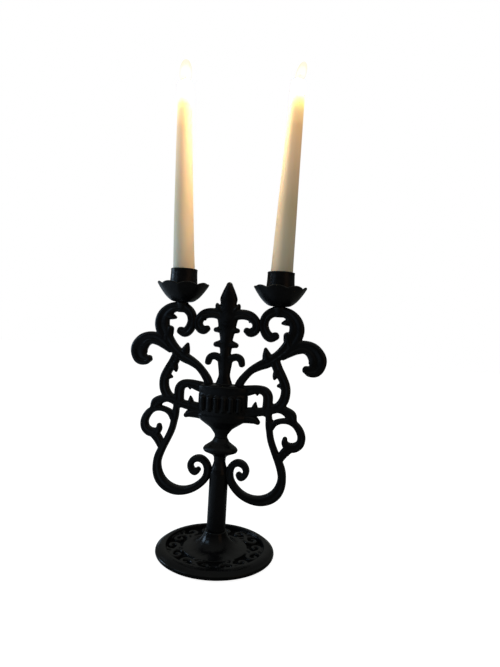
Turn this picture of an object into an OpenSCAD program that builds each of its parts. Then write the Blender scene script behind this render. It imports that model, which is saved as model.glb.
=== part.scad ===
// Two-arm candlestick: a flat openwork casting of scrolls on a round stem and base,
// with a scalloped drip pan, a cup and a tapered candle on each arm.
// The origin is under the middle of the base, and the openwork lies in the XZ plane.

/* [Stand] */
// Height from the table to the tip of the finial
stand_h = 291; // [250:1:340]
// Width over the two outer hooks
stand_w = 213; // [185:1:245]
// Thickness of the openwork from front to back
frame_t = 10; // [8:0.5:13]
// Width that stands for a share of 1 in the bars of the openwork
bar_w = 10; // [9:0.1:11.5]
// Diameter of the round stem
stem_d = 19.6; // [16:0.2:22]
// Thickness of the urn from front to back
urn_t = 27; // [20:1:34]

/* [Base] */
// Diameter of the base
base_d = 126.4; // [110:0.2:144]
// Height of the base from its underside to the foot of the stem
base_h = 24; // [20:0.5:30]
// Height of the rolled rim over the underside
rim_h = 8.6; // [7.6:0.1:10]
// Width of the rolled rim
rim_w = 12; // [10:0.1:13]
// Thickness of the plate under the relief
plate_t = 2.6; // [2:0.1:3.2]
// Height of the relief scrolls over the floor of their trough
relief_h = 2.2; // [1.4:0.1:2.6]
// Number of relief scrolls round the base
relief_count = 7; // [5:1:7]

/* [Feet] */
// Diameter of a felt pad
pad_d = 10; // [7:0.5:11]
// Thickness of a felt pad
pad_t = 1; // [0.8:0.1:2]
// Number of felt pads
pad_count = 4;

/* [Fasteners] */
// Diameter of the bolt that holds the stem to the base
bolt_d = 8; // [6:0.5:9]
// Length of that bolt under its head
bolt_l = 34; // [28:1:38]
// Diameter of the screw that holds a cup and a pan to the arm
screw_d = 5; // [4:0.1:5.5]
// Clearance between a fastener and the hole that it passes through, on each side
hole_gap = 0.25; // [0.15:0.05:0.4]

/* [Pans and cups] */
// Diameter of a drip pan over its petals
pan_d = 56; // [48:1:64]
// Height of a drip pan from its seat to the tips of its petals
pan_h = 20.5; // [17:0.5:25]
// Wall of a drip pan
pan_wall = 2.2; // [1.8:0.1:2.8]
// Number of petals round the rim
petal_count = 8; // [6:1:10]
// Depth of the gap between two petals
petal_gap = 3; // [2:0.1:4]
// Turn of the left pan about its axis
turn_left = -17; // [-22:1:22]
// Turn of the right pan about its axis
turn_right = 0; // [-22:1:22]
// Outer diameter of a cup at its mouth
cup_d = 28.6; // [26.6:0.2:31]
// Height of a cup
cup_h = 33.5; // [30:0.5:38]
// Bore of a cup
bore_d = 24.4; // [23.8:0.1:25]
// Depth of the bore
bore_h = 25; // [20:0.5:27]

/* [Candles] */
// Diameter of a candle where it leaves its cup
candle_d = 23.2; // [20:0.1:23.4]
// Diameter of a candle at its top
candle_top_d = 15.2; // [12:0.2:17]
// Height of a candle above its cup
candle_h = 199; // [120:1:240]
// Lean of the candle on the left arm
lean_left = 2.9; // [0:0.1:3]
// Lean of the candle on the right arm
lean_right = 1.4; // [0:0.1:3]
// Diameter of a wick
wick_d = 1.8; // [1.4:0.1:2.6]
// Height of a wick above the wax
wick_h = 8; // [4:0.5:12]

/* [Hidden] */
$fn = 64;
// How far a cut runs past the face that it opens
over = 1;
// Gap between faces that meet without touching
seat_gap = 0.05;
left = -1;
right = 1;

// The openwork is drawn on a grid: squares from the axis to a hook and from the table to the tip
grid_w_share = 106.5;
grid_h_share = 291;
col = stand_w / 2 / grid_w_share;
row = stand_h / grid_h_share;

// A bar is a row of stations: squares across, squares up, and half its width as a share of bar_w
shaft_shares = [
    [0, 168, 1.0], [0, 178, 1.05], [0, 184, 0.82], [0, 191, 0.6], [0, 199, 0.68], [0, 206, 0.76],
    [0, 213, 0.56], [0, 221, 0.64], [0.2, 230, 0.68], [0.3, 238, 0.86], [0.3, 245, 0.98], [0.4, 254, 1.12],
    [0.4, 262, 0.92], [0.5, 268, 0.86], [0.5, 273, 0.92], [0.5, 281, 0.62], [0.5, 287.5, 0.3]
];
arm_shares = [
    [14, 173, 0.42], [18, 185, 0.42], [27.3, 197, 0.38], [36.4, 203.3, 0.46], [46, 208, 0.55],
    [56, 215, 0.52], [65, 224, 0.62], [72, 234, 0.76], [74.6, 243, 0.78], [72.6, 252, 0.7],
    [66, 259, 0.58], [56.5, 262, 0.5], [47.5, 260.3, 0.5], [41.3, 254.5, 0.48], [39.8, 246.5, 0.46],
    [42.5, 238.5, 0.5], [47.5, 234.4, 0.5], [52.4, 235.9, 0.42]
];
hook_shares = [
    [60, 213.5, 0.3], [67, 219, 0.45], [76, 225, 0.65], [84.5, 226.3, 0.68], [92.6, 222.4, 0.82],
    [97.7, 213.8, 0.92], [95.8, 205, 0.84], [90.2, 202.3, 0.62], [86.4, 203.2, 0.4]
];
inner_scroll_shares = [
    [3, 252, 0.5], [9, 255.6, 0.52], [17, 256.8, 0.52], [25, 255.2, 0.5], [30.6, 250.4, 0.46],
    [32.2, 245, 0.44], [30, 240, 0.46], [25.5, 238.2, 0.46], [21.6, 240, 0.32]
];
side_scroll_shares = [
    [54, 209, 0.5], [57.6, 201, 0.5], [62.5, 193, 0.46], [66, 185, 0.47], [66.8, 178, 0.48],
    [65.4, 170.5, 0.5], [61, 163.5, 0.5], [55.3, 160.7, 0.46]
];
handle_top_shares = [
    [18, 175, 0.6], [27, 177.2, 0.54], [37, 179.3, 0.42], [44.6, 178, 0.46], [48.3, 173.5, 0.5],
    [48.8, 167, 0.5], [48.5, 160, 0.5], [47.8, 156, 0.45]
];
handle_low_shares = [
    [20, 152.5, 0.5], [30, 154.6, 0.5], [40, 155.8, 0.43], [50, 158, 0.42], [60, 160.8, 0.38],
    [68, 159.3, 0.45], [74, 155, 0.56], [76.5, 150, 0.4]
];
ear_shares = [
    [54, 140, 0.3], [57.5, 145.5, 0.3], [64, 148.6, 0.27], [72, 149.2, 0.3], [79, 146.3, 0.34],
    [84, 140.5, 0.38], [86.4, 133.5, 0.4], [85, 126.5, 0.44], [79.5, 122.4, 0.48],
    [73.2, 122.6, 0.44], [69.4, 126.5, 0.32], [69.4, 130.8, 0.22]
];
ear_link_shares = [[75, 121, 0.45], [70, 116.2, 0.46], [65.5, 109, 0.4]];
lower_scroll_shares = [
    [50.3, 158.4, 0.34], [51, 151, 0.32], [52.2, 143, 0.4], [52.8, 136, 0.33], [54.8, 127, 0.33],
    [59.3, 116, 0.34], [64.2, 106, 0.39], [67.7, 97, 0.42], [69, 89, 0.42], [67.9, 80, 0.5],
    [64, 71.8, 0.56], [56.5, 65.4, 0.55], [46.5, 62.2, 0.5], [36, 62.9, 0.43], [26, 67, 0.39],
    [18, 73.8, 0.38], [13.3, 81, 0.38], [12, 89, 0.4], [14.8, 96, 0.36], [20.7, 99.6, 0.36],
    [27.1, 98, 0.34], [30.7, 92.5, 0.31], [29.3, 86.8, 0.31], [25.3, 84.4, 0.35], [22.3, 87.3, 0.28]
];
shaft_curl_shares = [
    [2, 205, 0.4], [6.5, 209.5, 0.38], [12.5, 211.3, 0.37], [17, 208.8, 0.35], [18.6, 203.8, 0.3]
];

// Leaves and nubs on the bars, each as short as the bar that it grows from is wide
leaf_shares = [
    [[6, 257, 0.5], [11.2, 264.5, 0.27], [11.9, 266.8, 0.14]],
    [[4, 239.4, 0.34], [8, 239.5, 0.32], [12, 239.2, 0.25]],
    [[3, 224, 0.4], [7, 224.3, 0.38], [11.2, 223.6, 0.27]],
    [[26.5, 254, 0.35], [25, 250.6, 0.2], [24.1, 248.6, 0.08]],
    [[46.5, 209, 0.6], [44.5, 215.8, 0.46], [43, 222, 0.18]],
    [[68.5, 226, 0.55], [66, 233, 0.48], [65, 237, 0.4]],
    [[69, 252, 0.45], [62.5, 250.6, 0.3], [59.2, 249.8, 0.15]],
    [[57.5, 201, 0.45], [54.8, 194.8, 0.3], [54, 191.4, 0.14]],
    [[64.5, 184.5, 0.4], [60.5, 185.2, 0.27], [58.3, 184.6, 0.16]],
    [[37, 178, 0.3], [37, 175, 0.2], [37, 173, 0.08]],
    [[35, 156, 0.42], [35.3, 161.5, 0.27], [35.9, 165.6, 0.09]],
    [[14, 146, 0.5], [27, 148, 0.54], [35, 147.2, 0.46], [39.6, 144.6, 0.26]],
    [[71, 117, 0.4], [73.4, 114.6, 0.18]]
];

// Where a pan stands on an even pair of arms, in squares out from the axis and up from the table,
// and the heights of its boss and of the stem's shoulder
arm_col_share = 53.8;
seat_row_share = 267;
boss_row_share = 257;
shoulder_row_share = 83;

seat_z = seat_row_share * row;

// The two halves of the casting aren't quite mirror images. These say how far a curve lies further out
// than on an even pair, in squares: the curve that carries a pan, and the pan itself
function arm_out_share(side) = side == left ? -2 : 0;
function pan_out_share(side) = side == left ? -3.1 : 1.1;
arm_from_share = 208;
arm_to_share = 234;
inner_from_share = 20;
inner_to_share = 60;
// Below the arms all curves are turned by a small angle about a point on the axis, and the less aside
// the nearer they are to the stem
low_turn = 0.7;
low_pivot_share = 194;
low_from_share = 209;
low_to_share = 169;
stem_side_share = 30;

function ramp(v, from, to) = min(1, max(0, (v - from) / (to - from)));
function uneven(s, side) = [for (p = s)
    let (
        out = arm_out_share(side) * ramp(p[1], arm_from_share, arm_to_share)
            * ramp(p[0], inner_from_share, inner_to_share),
        turn = side * sin(low_turn * ramp(p[1], low_from_share, low_to_share)),
        aside = turn * (p[1] - low_pivot_share) * ramp(p[0], 0, stem_side_share)
    ) [p[0] + out + aside, p[1] - turn * p[0], p[2]]];

function arm_x(side) = side * (arm_col_share + pan_out_share(side)) * col;

// Lower end of the stem, and the bolt that holds it
foot_z = pad_t + base_h;
spigot_d = stem_d * 0.66;
spigot_h = 5;
stem_ledge = stem_d * 0.08;
boss_z = pad_t + rim_h;
washer_t = 1.6;
washer_d = bolt_d * 2.4;
head_d = bolt_d * 1.65;
head_h = bolt_d * 0.6;
tip_gap = 2;

// Profile sizes of the base
rim_r = base_d / 2;
trough_out_r = rim_r - rim_w;
flange_r = rim_r * 0.545;
cone_r = rim_r * 0.45;
trough_z = pad_t + rim_h * 0.42;
flange_z = trough_z + rim_h * 0.24;
cone_z = flange_z + rim_h * 0.12;
hollow_r = trough_out_r - plate_t;
cavity_r = cone_r - plate_t;
land_r = washer_d / 2 + plate_t;
cone_top_r = stem_d / 2 + stem_ledge;
pad_r = hollow_r + pad_d / 2 + seat_gap;

// Sizes of the neck boss and its screw
neck_d = 14;
tap_gap = 0.1;
screw_head_d = screw_d * 1.7;
screw_head_h = screw_d * 0.6;
cup_floor = cup_h - bore_h;
screw_l = cup_floor + pan_wall + neck_d * 0.45;

// The candle's foot narrows so that a leaning candle stands in the bore
foot_d = candle_d * 0.88;
mouth_z = seat_z + pan_wall + cup_h;
candle_l = candle_h + bore_h - seat_gap - foot_d / 2 * sin(max(lean_left, lean_right));
pool_h = 2;

// Points of an arc from one angle to another, both included
function arc(x, y, r, from, to, steps) =
    [for (i = [0 : steps]) let (a = from + (to - from) * i / steps) [x + r * cos(a), y + r * sin(a)]];

// A point between b and c on the smooth curve through a, b, c and d
function on_curve(a, b, c, d, t) =
    (b * 2 + (c - a) * t + (a * 2 - b * 5 + c * 4 - d) * t * t + (b * 3 - a - c * 3 + d) * t * t * t) / 2;

// A smooth row of stations, with so many steps from each station to the next
function smoothed(s, steps) = concat(
    [for (i = [0 : len(s) - 2], k = [0 : steps - 1])
        on_curve(s[max(i - 1, 0)], s[i], s[i + 1], s[min(i + 2, len(s) - 1)], k / steps)],
    [s[len(s) - 1]]
);

// Stations in real sizes, with a round nose added past the last one
function placed(s) = [for (p = s) [p[0] * col, p[1] * row, p[2] * bar_w]];
function ahead(s, i) = let (
        d = s[min(i + 1, len(s) - 1)] - s[max(i - 1, 0)],
        l = norm([d[0], d[1]])
    ) [d[0] / l, d[1] / l];
function with_nose(s, angles) = let (
        e = s[len(s) - 1],
        d = ahead(s, len(s) - 1)
    ) concat(s, [for (a = angles)
        [e[0] + d[0] * e[2] * sin(a), e[1] + d[1] * e[2] * sin(a), e[2] * cos(a)]]);

// Cross-sections as shares of the half width and half thickness: a bar with a flat face and bevels,
// a leaf with a ridge, and a relief scroll whose underside sinks into the face that carries it
bar_section_shares = [[1, 0], [0.55, 1], [-0.55, 1], [-1, 0], [-0.55, -1], [0.55, -1]];
leaf_section_shares = [[1, 0], [0, 1], [-1, 0], [0, -1]];
relief_section_shares = [[1, 0.5], [-1, 0.5], [-0.5, -1], [0.5, -1]];

// A bar swept along its stations, with the section turned square to the curve.
// It is full thick where its half width is at least full_w, and thinner in the same measure below it.
module swept(stations, section, thick, full_w, nose = [45, 75]) {
    s = with_nose(stations, nose);
    n = len(s);
    m = len(section);
    points = [for (i = [0 : n - 1], j = [0 : m - 1])
        let (
            d = ahead(s, i),
            half_t = thick / 2 * min(1, s[i][2] / full_w),
            u = section[j][0] * s[i][2]
        ) [s[i][0] + d[1] * u, section[j][1] * half_t, s[i][1] - d[0] * u]];
    sides = [for (i = [0 : n - 2], j = [0 : m - 1])
        [i * m + j, (i + 1) * m + j, (i + 1) * m + (j + 1) % m, i * m + (j + 1) % m]];
    near_end = [for (j = [0 : m - 1]) j];
    far_end = [for (j = [m - 1 : -1 : 0]) (n - 1) * m + j];
    polyhedron(points, concat(sides, [near_end, far_end]), convexity = 8);
}

// A bar of the openwork is full thick from this half width on, as a share of bar_w
full_share = 0.3;
module bar(shares, steps) {
    swept(smoothed(placed(shares), steps), bar_section_shares, frame_t, full_share * bar_w);
}

// A leaf is a little thinner than the bar that it grows from
leaf_t_share = 0.88;
module leaf(shares) {
    swept(placed(shares), leaf_section_shares, frame_t * leaf_t_share, full_share * bar_w, [60]);
}

// Everything on one side of the axis, drawn as on the right: a mirror image puts it on the left
module half_openwork(side) {
    for (shares = [arm_shares, inner_scroll_shares, side_scroll_shares, handle_top_shares, handle_low_shares,
            ear_shares, lower_scroll_shares, shaft_curl_shares])
        bar(uneven(shares, side), 2);
    bar(hook_shares, 2);
    bar(uneven(ear_link_shares, side), 1);
    for (shares = leaf_shares)
        leaf(uneven(shares, side));
}

// Profile of the urn, from the neck to the rim, as squares out from the axis and up
urn_shares = [
    [0, 122], [6.6, 122], [7, 128], [12, 134.5], [18, 138.5], [24, 142.5], [26.8, 147],
    [25.8, 150], [27.8, 153], [27.8, 170], [26, 172.5], [28.2, 174.5], [28.2, 179.5], [0, 181.5]
];
// Profile of the knop under the urn
knop_shares = [
    [0, 103.5], [6, 103.5], [9, 106.3], [17.6, 109.6], [18.8, 112], [17.4, 114.4], [9.5, 120],
    [7, 124.5], [0, 124.5]
];
// Profile of the round shank between the knop and the shoulder of the stem
shank_shares = [[6.3, 103], [6, 99], [6.8, 95.5], [8.5, 91], [9.6, 86.5]];

module turned_shares(shares) {
    rotate_extrude($fn = 28)
        polygon([for (p = shares) [p[0] * col, p[1] * row]]);
}

urn_half_w_share = 28;
urn_squash = urn_t / 2 / (urn_half_w_share * col);
rib_share = 7.8;
rib_low_share = 154;
rib_high_share = 169;

// Upright ribs on both faces of the urn
module urn_ribs() {
    for (face = [-1, 1], k = [-2.5 : 2.5]) {
        x = k * rib_share * col;
        y = face * urn_t / 2 * sqrt(max(0, 1 - pow(x / (urn_half_w_share * col), 2)));
        rib_r = rib_share * col * 0.36;
        hull() {
            translate([x, y, rib_low_share * row]) sphere(r = rib_r, $fn = 6);
            translate([x, y, rib_high_share * row]) sphere(r = rib_r, $fn = 6);
        }
    }
}

// Stem, knop, urn, finial, arms and scrolls are one casting
module openwork_stem() {
    color([0.07, 0.07, 0.08])
    difference() {
        union() {
            half_openwork(right);
            mirror([1, 0, 0])
                half_openwork(left);
            bar(shaft_shares, 1);
            scale([1, urn_squash, 1])
                turned_shares(urn_shares);
            scale([1, (1 + urn_squash) / 2, 1])
                turned_shares(knop_shares);
            urn_ribs();
            rotate_extrude($fn = 32)
                polygon(concat(
                    [[0, foot_z - spigot_h], [spigot_d / 2, foot_z - spigot_h], [spigot_d / 2, foot_z],
                        [stem_d / 2, foot_z], [stem_d / 2, shoulder_row_share * row]],
                    [for (i = [len(shank_shares) - 1 : -1 : 0])
                        [shank_shares[i][0] * col, shank_shares[i][1] * row]],
                    [[shank_shares[0][0] * col, urn_shares[0][1] * row], [0, urn_shares[0][1] * row]]
                ));
            for (side = [left, right])
                translate([arm_x(side), 0, boss_row_share * row])
                    cylinder(d = neck_d, h = seat_z - boss_row_share * row, $fn = 24);
        }
        translate([0, 0, foot_z - spigot_h - over])
            cylinder(d = bolt_d + 2 * tap_gap, $fn = 24,
                h = boss_z - washer_t + bolt_l + tip_gap - foot_z + spigot_h + over);
        for (side = [left, right])
            translate([arm_x(side), 0, seat_z - neck_d * 0.55])
                cylinder(d = screw_d + 2 * tap_gap, h = neck_d, $fn = 24);
    }
}

// Profile of the base with its rolled rim, relief trough, flange and flared cone
function rim_profile() = concat(
    arc(rim_r - rim_h * 0.32, pad_t + rim_h * 0.32, rim_h * 0.32, -75, 35, 6),
    arc(rim_r - rim_w * 0.8, pad_t - rim_h * 0.16, rim_h * 1.16, 43, 97, 6)
);
function cone_profile() = [for (i = [0 : 8]) let (t = i / 8)
    [cone_r * pow(1 - t, 2) + 2 * t * (1 - t) * cone_top_r * 1.35 + cone_top_r * t * t,
        cone_z * pow(1 - t, 2) + 2 * t * (1 - t) * (cone_z + base_h * 0.12) + foot_z * t * t]];

module base_solid() {
    rotate_extrude()
        polygon(concat(
            [[hollow_r, pad_t]],
            rim_profile(),
            [[trough_out_r, trough_z], [flange_r + plate_t * 0.2, trough_z]],
            [[flange_r, flange_z], [cone_r, cone_z]],
            cone_profile(),
            [[0, foot_z], [0, boss_z], [land_r, boss_z], [cavity_r, flange_z - plate_t],
                [flange_r, trough_z - plate_t], [hollow_r, trough_z - plate_t]]
        ));
}

// One relief scroll on the base: an S with curled ends that runs from the flange out to the rim,
// and the leaves that spring from it, in shares of the trough's width
relief_scroll_shares = [
    [-0.5, -0.06, 0.08], [-0.58, -0.2, 0.1], [-0.76, -0.22, 0.11], [-0.9, -0.06, 0.12], [-0.86, 0.17, 0.13],
    [-0.64, 0.3, 0.14], [-0.36, 0.26, 0.14], [-0.14, 0.11, 0.14], [0, 0, 0.14], [0.14, -0.11, 0.14],
    [0.36, -0.26, 0.14], [0.64, -0.3, 0.14], [0.86, -0.17, 0.13], [0.9, 0.06, 0.12], [0.76, 0.22, 0.11],
    [0.58, 0.2, 0.1], [0.5, 0.06, 0.08]
];
relief_leaf_shares = [
    [[-0.08, 0.08, 0.11], [0.06, 0.24, 0.11], [0.16, 0.4, 0.1], [0.34, 0.44, 0.07]],
    [[0.08, -0.08, 0.11], [-0.06, -0.24, 0.11], [-0.16, -0.4, 0.1], [-0.34, -0.44, 0.07]],
    [[-0.4, 0.28, 0.12], [-0.22, 0.42, 0.1], [-0.08, 0.46, 0.06]],
    [[0.4, -0.28, 0.12], [0.22, -0.42, 0.1], [0.08, -0.46, 0.06]]
];
trough_w = trough_out_r - flange_r;
relief_mid_r = (trough_out_r + flange_r) / 2;

module relief_scroll() {
    for (shares = concat([relief_scroll_shares], relief_leaf_shares))
        rotate([-90, 0, 0])
            swept(smoothed(shares * trough_w, 1), relief_section_shares, relief_h * 2, trough_w * 0.06, [60]);
}

module base_plate() {
    color([0.07, 0.07, 0.08])
    difference() {
        union() {
            base_solid();
            for (k = [0 : relief_count - 1])
                rotate([0, 0, k * 360 / relief_count])
                    translate([relief_mid_r, 0, trough_z])
                        rotate([0, 0, 90])
                            relief_scroll();
        }
        translate([0, 0, foot_z - spigot_h - hole_gap])
            cylinder(d = spigot_d + 2 * hole_gap, h = spigot_h + hole_gap + over);
        translate([0, 0, boss_z - over])
            cylinder(d = bolt_d + 2 * hole_gap, h = base_h);
    }
}

module base_bolt() {
    color("silver")
    translate([0, 0, boss_z - washer_t]) {
        translate([0, 0, -head_h])
            cylinder(d = head_d, h = head_h, $fn = 6);
        cylinder(d = bolt_d, h = bolt_l);
    }
}

module base_washer() {
    color("silver")
    translate([0, 0, boss_z - washer_t])
        difference() {
            cylinder(d = washer_d, h = washer_t);
            translate([0, 0, -over])
                cylinder(d = bolt_d + 2 * hole_gap, h = washer_t + 2 * over);
        }
}

module foot_pad(k) {
    color([0.12, 0.12, 0.12])
    rotate([0, 0, (k - 0.5) * 360 / pad_count])
        translate([pad_r, 0, 0])
            cylinder(d = pad_d, h = pad_t);
}

// Outline of the drip pan's wall, from its seat to the rim, as shares of its radius and height
pan_shares = [[0.29, 0], [0.42, 0.04], [0.56, 0.17], [0.68, 0.33], [0.8, 0.54], [0.91, 0.77], [1, 1]];
petal_half = 180 / petal_count;
petal_w = pan_d * sin(petal_half);
petal_r = (pow(petal_w / 2, 2) + pow(petal_gap, 2)) / (2 * petal_gap);
petal_crest = petal_gap * 0.1;

// What lies between two petals: a block less the two round petals beside it,
// whose crests stand a little over the rim so that each petal ends in a short flat
module petal_notch() {
    rim_z = seat_z + pan_h;
    notch_w = petal_w * 0.8;
    near = notch_w / 2 / tan(petal_half) * 1.02;
    difference() {
        translate([near, -notch_w / 2, rim_z - petal_gap * 2])
            cube([pan_d * 0.6 - near, notch_w, petal_gap * 4]);
        for (turn = [-petal_half, petal_half])
            rotate([0, 0, turn])
                translate([0, 0, rim_z + petal_crest - petal_r])
                    rotate([0, 90, 0])
                        cylinder(r = petal_r, h = pan_d);
    }
}

module pan_bowl() {
    out = [for (p = pan_shares) [p[0] * pan_d / 2, seat_z + p[1] * pan_h]];
    top = out[len(out) - 1];
    rotate_extrude()
        polygon(concat(
            [[0, seat_z]],
            out,
            [[top[0] - pan_wall, top[1]]],
            [for (i = [len(out) - 2 : -1 : 2]) [out[i][0] - pan_wall * 0.6, out[i][1] + pan_wall * 0.85]],
            [[out[1][0], seat_z + pan_wall], [0, seat_z + pan_wall]]
        ));
}

module drip_pan(side, turn) {
    color([0.08, 0.08, 0.09])
    translate([arm_x(side), 0, 0])
        rotate([0, 0, turn])
            difference() {
                pan_bowl();
                for (k = [0 : petal_count - 1])
                    rotate([0, 0, k * 360 / petal_count])
                        petal_notch();
                translate([0, 0, seat_z - over])
                    cylinder(d = screw_d + 2 * hole_gap, h = pan_wall + 2 * over);
            }
}

// Outline of the cup as shares of its outer radius and its height
cup_shares = [[0.62, 0], [0.84, 0.05], [0.98, 0.17], [1.05, 0.32], [1.05, 0.45], [1.01, 0.7], [1, 1]];

module candle_cup(side) {
    color([0.07, 0.07, 0.08])
    translate([arm_x(side), 0, seat_z + pan_wall])
        difference() {
            rotate_extrude()
                polygon(concat(
                    [[0, 0]],
                    [for (p = cup_shares) [p[0] * cup_d / 2, p[1] * cup_h]],
                    [[0, cup_h]]
                ));
            translate([0, 0, cup_floor])
                cylinder(d = bore_d, h = bore_h + over);
            translate([0, 0, cup_floor - screw_head_h - hole_gap])
                cylinder(d = screw_head_d + 2 * hole_gap, h = screw_head_h + hole_gap + over);
            translate([0, 0, -over])
                cylinder(d = screw_d + 2 * hole_gap, h = cup_floor + 2 * over);
        }
}

module cup_screw(side) {
    color("silver")
    translate([arm_x(side), 0, seat_z + pan_wall + cup_floor - screw_head_h - hole_gap]) {
        cylinder(d = screw_head_d, h = screw_head_h);
        translate([0, 0, -screw_l + screw_head_h])
            cylinder(d = screw_d, h = screw_l - screw_head_h);
    }
}

// The candle leans about the middle of its cup's mouth
module leaning(side, lean) {
    translate([arm_x(side), 0, mouth_z])
        rotate([0, side * lean, 0])
            translate([0, 0, candle_h - candle_l])
                children();
}

module candle(side, lean) {
    color([0.75, 0.73, 0.68])
    leaning(side, lean)
        rotate_extrude()
            polygon(concat(
                [[0, 0], [foot_d / 2, 0], [candle_d / 2, candle_l - candle_h + pool_h]],
                [[candle_top_d / 2, candle_l - candle_top_d * 0.7]],
                arc(candle_top_d * 0.24, candle_l - candle_top_d * 0.26, candle_top_d * 0.26, 25, 120, 5),
                [[wick_d / 2, candle_l - pool_h], [0, candle_l - pool_h]]
            ));
}

module wick(side, lean) {
    color([0.1, 0.09, 0.08])
    leaning(side, lean)
        translate([0, 0, candle_l - pool_h])
            cylinder(d1 = wick_d, d2 = wick_d * 0.8, h = wick_h + pool_h);
}

foot_pad(1);  // foot_pad_1
foot_pad(2);  // foot_pad_2
foot_pad(3);  // foot_pad_3
foot_pad(4);  // foot_pad_4
base_plate();
base_bolt();
base_washer();
openwork_stem();
drip_pan(left, turn_left);  // drip_pan_left
drip_pan(right, turn_right);  // drip_pan_right
candle_cup(left);  // candle_cup_left
candle_cup(right);  // candle_cup_right
cup_screw(left);  // cup_screw_left
cup_screw(right);  // cup_screw_right
candle(left, lean_left);  // candle_left
candle(right, lean_right);  // candle_right
wick(left, lean_left);  // wick_left
wick(right, lean_right);  // wick_right
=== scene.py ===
# %% [markdown]
# # A two-arm candlestick in black cast iron
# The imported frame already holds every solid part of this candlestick, in metres and in place.
# In this lesson we dress it. The iron gets its soft cast edges, its grooves and its paint,
# the candles get real wax with a melted top, and at the end we light a plain pale room.

# %% Load the frame
import math

import bmesh
import bpy
from mathutils import Matrix, Vector, noise


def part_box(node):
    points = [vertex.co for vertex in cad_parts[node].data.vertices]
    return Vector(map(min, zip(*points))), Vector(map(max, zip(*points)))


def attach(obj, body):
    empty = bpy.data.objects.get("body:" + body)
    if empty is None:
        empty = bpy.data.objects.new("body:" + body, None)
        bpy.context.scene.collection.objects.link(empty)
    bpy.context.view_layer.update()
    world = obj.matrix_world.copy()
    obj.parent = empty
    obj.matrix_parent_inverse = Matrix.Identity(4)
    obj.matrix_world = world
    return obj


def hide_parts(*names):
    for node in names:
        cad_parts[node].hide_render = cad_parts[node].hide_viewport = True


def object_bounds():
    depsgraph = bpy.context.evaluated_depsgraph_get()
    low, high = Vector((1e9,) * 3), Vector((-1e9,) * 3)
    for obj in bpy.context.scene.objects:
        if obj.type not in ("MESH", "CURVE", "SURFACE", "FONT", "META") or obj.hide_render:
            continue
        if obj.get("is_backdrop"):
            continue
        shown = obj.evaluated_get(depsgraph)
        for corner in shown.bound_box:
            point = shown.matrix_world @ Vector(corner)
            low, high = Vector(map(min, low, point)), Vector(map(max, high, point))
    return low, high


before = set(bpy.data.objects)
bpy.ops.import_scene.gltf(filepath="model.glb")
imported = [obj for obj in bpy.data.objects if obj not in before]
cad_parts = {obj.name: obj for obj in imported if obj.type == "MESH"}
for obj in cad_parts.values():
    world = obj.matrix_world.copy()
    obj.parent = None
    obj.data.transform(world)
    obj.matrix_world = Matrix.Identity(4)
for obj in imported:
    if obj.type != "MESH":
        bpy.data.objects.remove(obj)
cad_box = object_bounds()
MM = 0.001

# %% [markdown]
# ## The camera
# The picture was taken from close by through a wide lens, as a phone's is. The distance and the
# turn of the camera were worked out from points that mirror each other on the flat openwork, and
# from the round base. Blender wants the camera's own right, up and backward directions, so we
# build those three.

# %% Place the camera
PICTURE_HEIGHT = 667
FOCAL_PIXELS = 504
SENSOR = 36
CAMERA_PLACE = Vector((127.2, -521.7, 248.7)) * MM
yaw, pitch, roll = (math.radians(a) for a in (-11.05, 1.23, -3.2))


def put(name, data):
    """A new object in the scene, for a camera, a mesh or a lamp."""
    made = bpy.data.objects.new(name, data)
    bpy.context.scene.collection.objects.link(made)
    return made


forward = Vector((math.sin(yaw) * math.cos(pitch), math.cos(yaw) * math.cos(pitch), -math.sin(pitch)))
level_right = Vector((math.cos(yaw), -math.sin(yaw), 0))
level_down = forward.cross(level_right)
right = level_right * math.cos(roll) + level_down * math.sin(roll)
down = level_down * math.cos(roll) - level_right * math.sin(roll)

lens = bpy.data.cameras.new("lens")
lens.sensor_width = SENSOR
lens.lens = FOCAL_PIXELS / PICTURE_HEIGHT * SENSOR
lens.clip_start = 0.01
camera = put("camera", lens)
camera.matrix_world = Matrix.Translation(CAMERA_PLACE) @ Matrix((right, -down, -forward)).transposed().to_4x4()
bpy.context.scene.camera = camera
print(f"lens {lens.lens:.1f} mm")

# %% [markdown]
# ## Small helpers for node trees
# Materials and Geometry Nodes are both built from nodes. One function adds a node, sets it up and
# links its inputs, so that each recipe below reads from top to bottom. Colours are written as hex,
# the way a paint shop gives them, and one function turns them into the linear light of the renderer.

# %% Node and colour helpers
def linear(hex_colour):
    """Linear RGBA of an sRGB hex colour."""
    parts = [int(hex_colour[i:i + 2], 16) / 255 for i in (1, 3, 5)]
    return tuple(c / 12.92 if c <= 0.04045 else ((c + 0.055) / 1.055) ** 2.4 for c in parts) + (1.0,)


def feed(node, sockets):
    """Gives a node's sockets, by name or in order, their value or the node or output that feeds them."""
    for name, value in sockets.items() if isinstance(sockets, dict) else enumerate(sockets):
        if isinstance(value, bpy.types.Node):
            value = value.outputs[0]
        if isinstance(value, bpy.types.NodeSocket):
            node.id_data.links.new(value, node.inputs[name])
        else:
            node.inputs[name].default_value = value


def add(tree, kind, sockets=(), stops=(), **settings):
    """Adds one node with its settings and links. stops are a ramp's places and hex colours."""
    made = tree.nodes.new(kind)
    for name, value in settings.items():
        setattr(made, name, value)
    feed(made, sockets)
    if stops:
        band = made.color_ramp.elements
        while len(band) < len(stops):
            band.new(0.5)
        for element, (place, colour) in zip(band, stops):
            element.position = place
            element.color = linear(colour)
    return made


print("white is", [round(c, 2) for c in linear("#FFFFFF")])

# %% [markdown]
# ## The start of a material
# Each material below is one shader with patterns that feed it. The patterns read the object's own
# coordinates in metres, so they keep their real size and stay put when a piece moves. A pattern's
# scale then follows from the width of its features in millimetres.

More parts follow.
